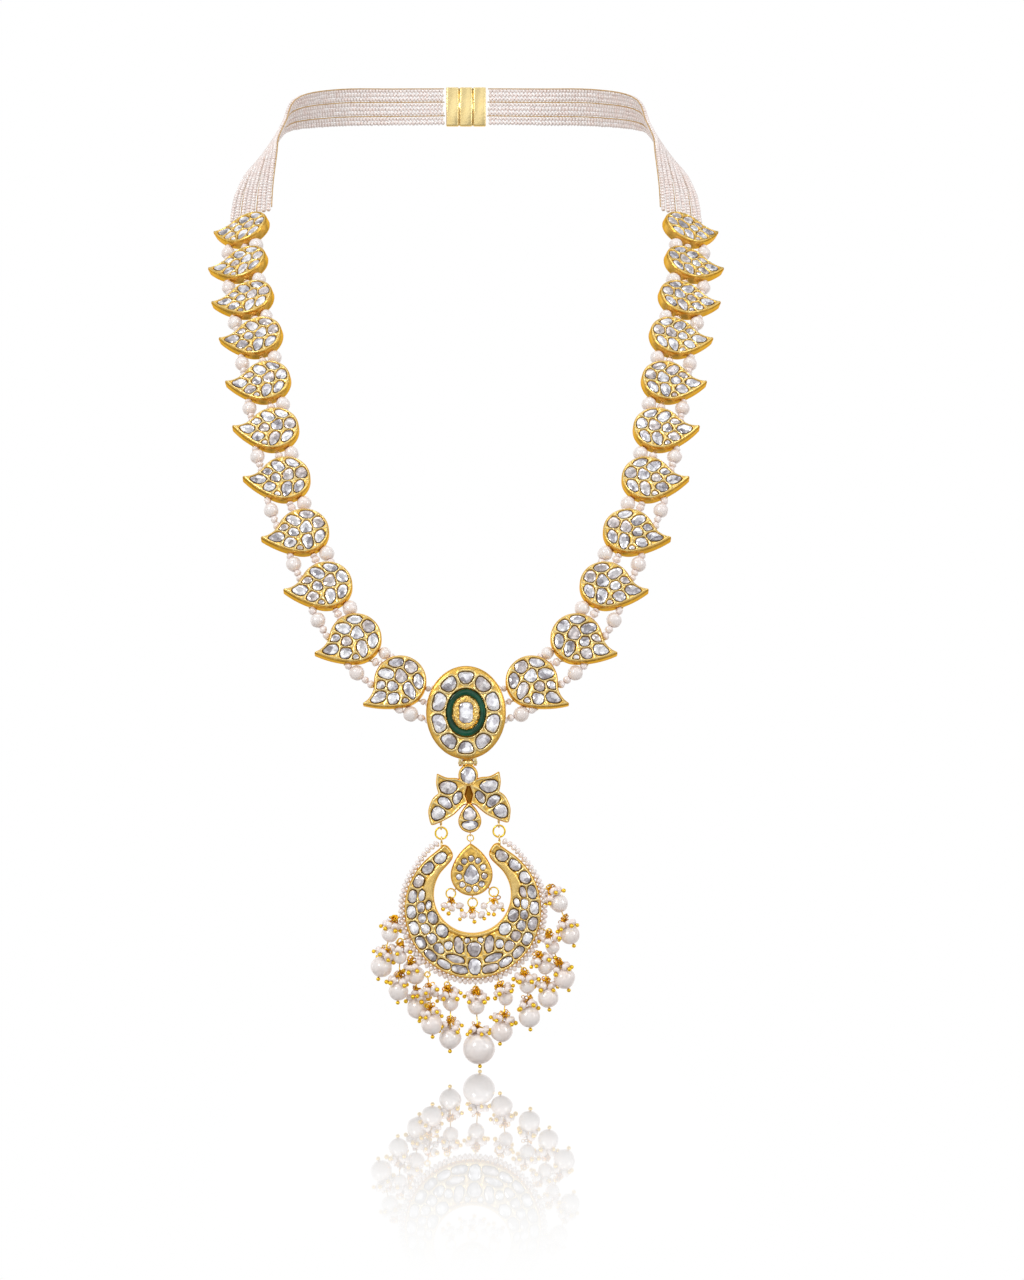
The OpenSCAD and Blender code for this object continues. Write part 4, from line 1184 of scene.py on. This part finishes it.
def addBarrel(bm):
    # turns on the pin; a square neck widens from it down to the plate
    radius, reach, at = connector["barrel"] / 2, connector["barrelReach"], connector["barrelAt"]
    addDrum(bm, 28, radius, radius, 2 * reach, shift(0, at, 0) @ turn("Y", 90))
    low, high, long = connector["neck"]
    corner = reach * math.sqrt(2)
    neck = bmesh.new()
    addDrum(neck, 4, low * corner, high * corner, long, turn("X", 90) @ turn("Z", 45))
    addCopy(bm, asMesh(neck), shift(0, at - 2, 0) @ stretch(1, 1, 0.6))


makeConnector()
print("connector set")


# Crescent

moon = {
    "centre": -71, "radius": 24.6, "thick": 4.4, "holeAt": 5.4, "hole": 13.9,
    "tip": (10.2, 24), "corner": (6.4, 19.4), "outer": 121, "inner": 134.4,
    # raised line inside the outer row: radius, height, width; and the rounded band along the hole
    "line": (19.95, 0.38, 0.32), "bandRound": 1.1, "bandSwell": 0.3,
    # outer row of stones: radius, first angle, step, length, width, count
    "row": (22.2, 120, 15, 3.7, 3.1, 21),
    # the lowest stones of the outer row, by their number: radius, length, width
    "low": {7: (22.3, 4.1, 2.5), 8: (22.0, 4.7, 2.2), 9: (21.8, 5.4, 2.4), 10: (20.3, 3.7, 4.6),
            11: (21.8, 5.4, 2.4), 12: (22.0, 4.7, 2.2), 13: (22.3, 4.1, 2.5)},
    # the other stones of one half, and the one on the middle line
    "half": [
        (-18.4, 5.6, 3.6, 2, 75, 0), (-18.7, 1.6, 3.4, 2.3, 86, 0), (-18.4, -2.3, 3.1, 2.3, 98, 0),
        (-17.3, -6.1, 3.2, 2.6, 112, 0), (-15.2, -9.8, 3.2, 2.8, 125, 0), (-12.6, -13.3, 3.4, 2.8, 140, 0),
        (-6.9, -17.4, 5.2, 2.2, -18, 0), (-15.9, 2.2, 2.6, 1.6, 75, 0), (-14.5, -2.3, 3.6, 2.9, 105, 0),
        (-11.3, -7.1, 3.7, 3.2, 125, 0), (-9.3, -12.5, 2.7, 2.4, 30, 0), (-5.5, -12.5, 5, 2.6, 98, 0),
        (-2.4, -10.9, 1.6, 1.5, 0, 0)],
    "middle": (0, -14.0, 4.6, 3.9, 270, -0.3), "eyeAt": (10.4, -45.4), "stalk": -2.4,
    "fit": {**stoneFit, "rays": 12, "grow": 1.25, "between": 0.7, "margin": 1.0},
    # seeds round the edge: radius, sweep, count, size of a seed; flare out along the horns; wire under them
    "border": (25.8, 310, 75, (1.78, 2.4, 2.1)), "flare": (1.3, 128, 24),
    "borderWire": 0.36, "borderIn": 0.25,
    "look": {**plateLook, "step": 0.22, "rimAt": 0.6}
}


def moonShape(points, edge, heights, sunk, stones):
    # smooth rounded band along the hole, and the raised line; painted highlight on the band and the line,
    # painted shade in the groove at the band's edge
    x, y = points[:, 0], points[:, 1] - moon["holeAt"]
    turned = np.abs(np.degrees(np.arctan2(x, -y)))
    wide = 1.3 + 2.7 * gentle((turned - 20) / 70) - 1.2 * gentle((turned - 100) / 30)
    band = moon["hole"] + wide - np.hypot(x, y)
    band = np.minimum(band, np.min([-depthIn(points, s) for s in stones], axis=0) - 0.25)
    smooth = moon["bandSwell"] * gentle(band / 0.8) - roundOff(edge, moon["bandRound"])
    share = gentle((band + 0.15) / 0.3)
    groove = 0.3 * bell(band + 0.1, 0.25)
    radius, height, width = moon["line"]
    line = height * bell(np.hypot(*points.T) - radius, width) * (band < -1)
    heights = heights * (1 - share) + smooth * share - groove + line
    sunk = sunk * (1 - share) + 0.18 * share + 1.2 * groove - line
    return heights, np.clip(sunk, 0, 1)


def moonOutline():
    start, inner = moon["outer"], moon["inner"]
    outer = arc((0, 0), moon["radius"], start, 540 - start, 170)
    hole = arc((0, moon["holeAt"]), moon["hole"], 180 - inner, inner - 360, 110)
    tip, corner = np.array(moon["tip"]), np.array(moon["corner"])
    horn = [outer[-3], tip + (0.7, -1.4), tip - (0.5, 0.4), tip - (2.0, 1.0), corner + (0.4, 1.5),
            corner + (0.2, -0.1), corner + (1.2, -1.9), hole[2]]
    right = smoothCurve(horn, 5)[1:-1]
    left = (right * (-1, 1))[::-1]
    return np.vstack([outer[3:-3], right, hole[3:-3], left])


def makeCrescent():
    chance = random.Random(61)
    face = shift(0, moon["centre"], moon["thick"] / 2)
    radius, start, step, long, wide, count = moon["row"]
    stones = []
    for k in range(count):
        angle = start + step * k
        out, length, width = moon["low"].get(k, (radius, long, wide))
        stones.append((*spoke(angle, out), length, width, angle + 90, 0))
    stones += moon["half"] + flipStones(moon["half"]) + [moon["middle"]]
    outline = moonOutline()
    stones = fitStones(stones, outline, chance, moon["fit"])
    bm = freshMesh("sunk")
    shape = partial(moonShape, stones=stones)
    addCopy(bm, goldPlate(outline, stones, moon["thick"], moon["look"], shape), face)
    addEyePair(bm, moon["eyeAt"], moon["stalk"])
    addEyes(bm, moon, fringe, fringe["strings"])
    path = borderPath(moon["borderIn"])
    for start, end in zip(path, path[1:]):
        addRod(bm, (*start, 0), (*end, 0), moon["borderWire"])
    keep("crescent_gold", bm, "gold", "crescent", ["crescent"], hungPlace)
    keep("crescent_polki", stoneBunch(stones, chance), "stone", "crescent", ["crescent_stones"],
         hungPlace @ face)
    makeBorder(chance)


def borderPath(inward=0.0):
    # middles of the seeds, out round the back of the crescent and up along its horns
    radius, sweep, count, _ = moon["border"]
    flare, flareFrom, flareOver = moon["flare"]
    angles = 270 - sweep / 2 + sweep * (np.arange(count) + 0.5) / count
    far = radius - inward + flare * gentle((np.abs(angles - 270) - flareFrom) / flareOver)
    angles = np.radians(angles)
    return np.column_stack([far * np.cos(angles), far * np.sin(angles) + moon["centre"]])


def makeBorder(chance):
    bm = bmesh.new()
    path = borderPath()
    for k, at in enumerate(path):
        x, y = path[min(k + 1, len(path) - 1)] - path[max(k - 1, 0)]
        place = shift(*at, wobble(chance, 0.1)) @ turn("Z", math.degrees(math.atan2(y, x)))
        spread = [size / 2 * chance.uniform(0.94, 1.03) for size in moon["border"][3]]
        shape = chance.choice(seedShapes)
        spin = turn("Y", 90) @ turn("Z", chance.uniform(0, 360))
        addCopy(bm, shape, place @ stretch(*spread) @ spin)
    keep("crescent_seeds", bm, "seed", "crescent", ["seed_border"], hungPlace)


# Strings of pearls under the crescent

fringe = {
    # angle round the crescent; upper pearl x, y, radius; lower pearl x, y, radius; depth towards the viewer
    "strings": [
        (184, -30.1, -78.7, 3, -33.6, -90.4, 3.8, 0), (201.5, -26.8, -87.2, 2.4, -27.8, -99.2, 3.4, 1),
        (216, -21.4, -94.1, 3.2, -20.9, -106, 4.1, -2.4), (233, -16.6, -99.8, 0, -16.2, -111.3, 3.7, 3.2),
        (249, -9.2, -104.4, 2.8, -9.8, -117, 3.9, 0), (270, 0, -105.8, 3, 0.4, -121, 5.65, 0),
        (288, 10.7, -103.4, 2.6, 8.8, -115.2, 3.8, -0.5), (308, 18.6, -99.2, 2.7, 19, -110.2, 3.8, 0.5),
        (324, 25.3, -92.6, 2.7, 26, -103.6, 3.7, -0.5), (342, 28.2, -85.6, 2.4, 32, -96.8, 3.8, 0.5),
        (14, 31, -69.8, 3.3, 34.6, -81.2, 3.5, 0)],
    "hookOut": 28.5, "hook": 0.95, "clusterOut": 1.65, "seatSeed": 1.9, "ball": 1.5, "pin": 0.32,
    "seeds": 6, "seed": 3.0, "seedsOut": 2.7, "seedFlat": 0.86, "smallBall": 1.65, "loops": 14,
    "smallPearl": 2.5, "bigPearl": 5
}


def seatHeight(radius):
    # how far over a pearl's middle its ring of seeds sits
    if radius == 0:
        return 0
    return math.sqrt((radius + fringe["seatSeed"] / 2 + 0.15) ** 2 - fringe["clusterOut"] ** 2)


def addCluster(seeds, wires, chance, at, up, count):
    # seeds that hang round a string with a gold ball at the end of each, under a tangle of fine wire
    basis = aim(at, at + up)
    knot = at + up * 1.7
    for k in range(count):
        out = fringe["seedsOut"] * chance.uniform(0.8, 1.22)
        place = basis @ turn("Z", 360 * (k + wobble(chance, 0.25)) / count)
        height = 0.4 - 0.25 * out + chance.choice((-0.5, 0.2, 1.0)) * chance.uniform(0.6, 1.1)
        middle = place @ Vector((out, 0, height))
        away = (middle - knot).normalized()
        spread = [fringe["seed"] / 2 * chance.uniform(0.84, 1.04) for _ in range(3)]
        spread[2] *= fringe["seedFlat"]
        addCopy(seeds, chance.choice(seedShapes), aim(middle, middle + away) @ stretch(*spread))
        end = middle + away * (spread[2] + fringe["smallBall"] * 0.42)
        addBall(wires, end, fringe["smallBall"] / 2 * chance.uniform(0.88, 1.08))
        addRod(wires, knot, end, fringe["pin"])
    addTangle(wires, chance, at + up * 1.2, up, fringe["loops"])


def addTangle(wires, chance, at, up, count):
    for k in range(count):
        way = Vector([wobble(chance, 1) for _ in range(3)]).normalized()
        middle = at + up * chance.uniform(-0.5, 1.6) + way.cross(up) * chance.uniform(0.4, 2.1)
        radius = chance.uniform(0.5, 0.9)
        first = len(wires.verts)
        spread = stretch(radius, radius * chance.uniform(0.7, 1), radius)
        addCopy(wires, loopShape, aim(middle, middle + way) @ spread)
        wires.verts.ensure_lookup_table()
        sunk = wires.verts.layers.float["sunk"]
        # each loop gets a random amount of painted shade
        dark = chance.uniform(0.0, 0.8)
        for v in wires.verts[first:]:
            v[sunk] = dark


def makeFringe():
    chance = random.Random(71)
    pearlsHigh, pearlsLow, lowest, seedsHigh, seedsLow = (bmesh.new() for _ in range(5))
    wires = freshMesh("sunk")
    for angle, x0, y0, r0, x1, y1, r1, depth in fringe["strings"]:
        hook = Vector((*spoke(angle, fringe["hookOut"]), 0)) + Vector((0, moon["centre"], 0))
        upper, lower = Vector((x0, y0, depth / 2)), Vector((x1, y1, depth))
        level = Vector((upper.x - hook.x, upper.y - hook.y, 0))
        top = hook + level.normalized() * (fringe["hook"] + rings["gap"])
        way, after = (top - upper).normalized(), (upper - lower).normalized()
        foot = lower - after * (r1 + 0.8)
        big = r1 > fringe["bigPearl"]
        addFineRing(wires, top, (-way.y, way.x, 0))
        addRod(wires, top - way * 0.4, upper, rings["fineWire"])
        addRod(wires, upper, foot, rings["fineWire"])
        addBall(wires, foot, fringe["ball"] / 2)
        count = fringe["seeds"] - (r0 < fringe["smallPearl"])
        addCluster(seedsHigh, wires, chance, upper + way * seatHeight(r0), way, count)
        addCluster(seedsLow, wires, chance, lower + after * seatHeight(r1), after, fringe["seeds"] + big)
        if r0:
            addPearl(pearlsHigh, chance, upper, way, r0)
        addPearl(lowest if big else pearlsLow, chance, lower, after, r1)
    for name, bm, finish, nodes in (
            ("fringe_upper_pearls", pearlsHigh, "pearl", ["fringe_pearls_upper"]),
            ("fringe_lower_pearls", pearlsLow, "pearl", ["fringe_pearls_lower"]),
            ("fringe_bottom_pearl", lowest, "pearl", ["bottom_pearl"]),
            ("fringe_upper_seeds", seedsHigh, "seed", ["fringe_clusters_upper"]),
            ("fringe_lower_seeds", seedsLow, "seed", ["fringe_clusters_lower"]),
            ("fringe_wire_work", wires, "wire", ["fringe_wires"])):
        keep(name, bm, finish, "crescent", nodes, hungPlace)


def addPearl(bm, chance, at, along, radius):
    spread = [radius * chance.uniform(1.0, 1.05) for _ in range(3)]
    spread[2] = radius
    shape = chance.choice(pearlShapes)
    addCopy(bm, shape, aim(at, at + along) @ turn("Z", chance.uniform(0, 360)) @ stretch(*spread))


makeCrescent()
print("crescent set")
makeFringe()
print("fringe strung")


# Drop inside the crescent

drop = {
    "centre": -58.4, "radius": 7.5, "height": 11.2, "thick": 4, "pear": (0, 0.1, 6.6, 4.9, 90, -0.5),
    # small stones round the pear: half width and height of the row, size, count, height of its middle
    "row": (4.6, 5.6, 1.9, 11, 0.3), "grow": 0.08, "eyeAt": -46.5, "eye": 0.6, "hookOut": 10.1, "hook": 1.7,
    # each ring: its angle, its seeds and its gold balls
    "clusters": [
        (220, [(-10.2, -69.1), (-7.7, -70.2), (-4.8, -69.5)], [(-10.7, -70.4), (-8.8, -72.1), (-4, -71.1)]),
        (270, [(-3.4, -72.8), (-0.2, -73.3), (3, -73)], [(-4.8, -74.3), (0.4, -75.4), (4, -74.4)]),
        (320, [(4.05, -69.8), (7.5, -70.5), (10, -70)], [(5.6, -72.7), (7.5, -73), (10.8, -71.5)])],
    "seed": 3.0, "seedFlat": 0.84, "ball": 1.6, "loops": 9,
    "fit": {**stoneFit, "rays": 9, "grow": 1.12, "between": 0.5, "margin": 1.0},
    "look": {**plateLook, "step": 0.19, "slope": 0.3, "lip": 1.2, "rimAt": 0.9, "rimRidge": 0.1,
             "ridge": 0.12}
}


def makeDrop():
    chance = random.Random(81)
    face = shift(0, drop["centre"], drop["thick"] / 2)
    a, b, size, count, lift = drop["row"]
    spots = [spoke(90 + 360 * k / count) for k in range(count)]
    stones = [drop["pear"]] + [(a * x, b * y + lift, size, size, 0, 0) for x, y in spots]
    rim = pearOutline(drop["radius"], drop["height"])
    stones = fitStones(stones, rim, chance, drop["fit"])
    bm = freshMesh("sunk")
    addCopy(bm, goldPlate(rim, stones, drop["thick"], drop["look"]), face)
    addRing(bm, (0, drop["eyeAt"], 0), (1, 0, 0), drop["eye"], rings["fineWire"])
    addEyes(bm, drop, drop, drop["clusters"])
    keep("drop_gold", bm, "gold", "drop", ["drop"], hungPlace)
    cut = stoneBunch(stones, chance, grow=drop["grow"])
    keep("drop_polki", cut, "stone", "drop", ["drop_stones"], hungPlace @ face)
    makeDropSeeds(chance)


def makeDropSeeds(chance):
    seeds, wires = bmesh.new(), freshMesh("sunk")
    for angle, places, balls in drop["clusters"]:
        ring = Vector((*spoke(angle, drop["hookOut"]), 0)) + Vector((0, drop["centre"], 0))
        knot = ring - Vector((0, drop["hook"] + rings["gap"], 0))
        addFineRing(wires, knot)
        for k, ((x, y), (bx, by)) in enumerate(zip(places, balls)):
            at, end = Vector((x, y, 0.4 - 0.4 * k)), Vector((bx, by, 0.5 - 0.3 * k))
            spread = [drop["seed"] / 2 * chance.uniform(0.9, 1.04) for _ in range(3)]
            spread[2] *= drop["seedFlat"]
            addCopy(seeds, chance.choice(seedShapes), aim(at, end) @ stretch(*spread))
            addRod(wires, knot + Vector((0, -0.4, 0)), at, fringe["pin"])
            addRod(wires, at, end, fringe["pin"])
            addBall(wires, end, drop["ball"] / 2 * chance.uniform(0.9, 1.05))
        addTangle(wires, chance, knot - Vector((0, 1.5, 0)), Vector((0, 1, 0)), drop["loops"])
    keep("drop_seeds", seeds, "seed", "drop", ["drop_clusters"], hungPlace)
    keep("drop_wires", wires, "wire", "drop", (), hungPlace)


makeDrop()
print("drop set")


# Clasp on the nape

clasp = {
    "wide": 18, "high": 17, "thick": 2.8, "slots": (-3, 3), "groove": 0.5, "core": (1.5, 0.8),
    "borders": (-8.1, 8.1), "beads": 9, "beadStep": 2, "bead": 0.45
}


def makeClasp():
    bm = freshMesh("sunk")
    wide, high, deep = clasp["wide"], clasp["high"], clasp["thick"]
    cuts = (-wide / 2, *clasp["slots"], wide / 2)
    for left, right in zip(cuts, cuts[1:]):
        size = (right - left - clasp["groove"], deep, high)
        addBlock(bm, shift((left + right) / 2, deep / 2, 0), size, 0.5, 3)
    less, thinner = clasp["core"]
    addBlock(bm, shift(0, deep / 2, 0), (wide - less, deep - thinner, high - thinner))
    for x in clasp["borders"]:
        for k in range(clasp["beads"]):
            addBall(bm, (x, deep - 0.1, (k - (clasp["beads"] - 1) / 2) * clasp["beadStep"]), clasp["bead"])
    keep("clasp_body", bm, "gold", "necklace", ["clasp"], toMetres)


makeClasp()
print("clasp set")


# Rings that carry the lower pieces

def hookSpots(plate, hooks, rows):
    # rows start with their angle round the plate
    spots = [spoke(angle, hooks["hookOut"]) for angle, *_ in rows]
    return [(x, y + plate["centre"]) for x, y in spots]


carriers = {
    # node, body, middles, radius, wire
    "jump_left": ("jump_ring_left", "crescent", [(-10.4, -43.1)], 2.1, 0.7),
    "jump_right": ("jump_ring_right", "crescent", [(10.4, -43.1)], 2.1, 0.7),
    "drop_hooks": ("drop_rings", "drop", hookSpots(drop, drop, drop["clusters"]), drop["hook"], 0.52),
    "fringe_hooks": ("fringe_rings", "crescent", hookSpots(moon, fringe, fringe["strings"]), fringe["hook"],
                     0.48)
}


def makeCarriers():
    for name, (node, body, places, radius, wire) in carriers.items():
        bm = bmesh.new()
        shape = ringShape(radius, wire, 36 if radius > 1 else 20, 10 if radius > 1 else 8)
        for place in places:
            addCopy(bm, shape, shift(*place, 0))
        keep(f"{name}_ring", bm, "wire", body, [node], hungPlace)


makeCarriers()
print("rings set")


# Pieces that stay as the frame has them

plain = {"threads_left": "thread", "threads_right": "thread", "drop_link": "wire"}
for name, finish in plain.items():
    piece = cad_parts[name]
    if not piece.material_slots:
        piece.data.materials.append(None)
    for holder in piece.material_slots:
        holder.material = finishes[finish]
print("plain pieces finished")


# Table, backdrop light and lamps

room = {
    "floorAt": -390.3, "size": 6.0,
    # mirrored strip on the table: strength, half width, from and to, and where it fades out at the near end
    "mirror": 0.66, "mirrorWide": 80, "mirrorFrom": -228, "mirrorTo": -560, "fade": (-138, -198),
    "white": 1.0, "skyStrength": 0.95, "flags": (3.4, 0.38, 0.60, 0.38, 1.5),
    "sky": [(0.0, (0.50, 0.47, 0.45)), (0.42, (0.62, 0.60, 0.58)), (0.5, (0.86, 0.86, 0.86)),
            (0.62, (0.95, 0.95, 0.96)), (1.0, (0.62, 0.62, 0.63))],
    # place, width, height, watts, warmth
    "lamps": [((-0.9, -1.3, 0.5), 0.35, 0.5, 6, (1, 0.98, 0.95)),
              ((1.1, -1.0, 0.3), 0.3, 0.7, 2.5, (0.97, 0.98, 1)),
              ((0.0, -0.5, 1.1), 0.9, 0.4, 1.6, (1, 1, 1))],
    "lampsAim": (0, -0.2, -0.25)
}
plainWhite = (1, 1, 1, 1)


def makeFloor():
    f = Finish("pale_table")
    near, side = (f.part(f.objectPlace(), name) for name in ("Y", "X"))
    wide = room["mirrorWide"] * mm
    share = (f.range(near, room["mirrorTo"] * mm, room["mirrorFrom"] * mm, 0, room["mirror"])
             * f.range(near, *(edge * mm for edge in room["fade"]))
             * f.range(side * side, wide ** 2, (wide / 2) ** 2))
    white = f.node("ShaderNodeEmission", {}, {"Color": plainWhite, "Strength": room["white"]})
    shine = f.node("ShaderNodeBsdfGlossy", {}, {"Color": plainWhite, "Roughness": 0.02})
    f.finish(f.node("ShaderNodeMixShader", {}, {0: share, 1: white, 2: shine}))
    bm = bmesh.new()
    bmesh.ops.create_grid(bm, x_segments=1, y_segments=1, size=room["size"] / 2,
                          matrix=shift(0, 0, room["floorAt"] * mm))
    mesh = asMesh(bm)
    mesh.materials.append(f.owner)
    floor = bpy.data.objects.new("table_top", mesh)
    bpy.context.scene.collection.objects.link(floor)
    floor.visible_diffuse = floor.visible_glossy = False


def makeSky():
    f = Finish("studio", world=True)
    place = f.node("ShaderNodeTexCoord", {}, {}, out="Generated")
    up, away = (f.part(place, name) for name in ("Z", "Y"))
    size, *levels = room["flags"]
    flags = f.range(f.noise(size, 2, 0.5, place), *levels)
    around = f.blend(1.0, f.ramp(up * 0.5 + 0.5, room["sky"]), flags, "MULTIPLY")
    tone = f.blend(f.range(away, 0.55, 0.85), around, (1.1, 1.1, 1.1))
    seen = f.node("ShaderNodeLightPath", {}, {}, out="Is Camera Ray")
    around = f.node("ShaderNodeBackground", {}, {"Color": tone, "Strength": room["skyStrength"]})
    behind = f.node("ShaderNodeBackground", {}, {"Color": plainWhite, "Strength": room["white"]})
    mix = f.node("ShaderNodeMixShader", {}, {0: seen, 1: around, 2: behind})
    f.node("ShaderNodeOutputWorld", {}, {"Surface": mix})
    bpy.context.scene.world = f.owner


def makeLamps():
    for place, wide, high, watts, warmth in room["lamps"]:
        light = bpy.data.lights.new("softbox", "AREA")
        light.shape, light.size, light.size_y = "RECTANGLE", wide, high
        light.energy, light.color = watts, warmth
        lamp = bpy.data.objects.new("softbox", light)
        lamp.location = place
        lamp.rotation_euler = (Vector(room["lampsAim"]) - Vector(place)).to_track_quat("-Z", "Y").to_euler()
        lamp.visible_camera = False
        bpy.context.scene.collection.objects.link(lamp)


makeFloor()
makeSky()
makeLamps()
bpy.context.scene.view_settings.view_transform = "Standard"
print("table and light ready")
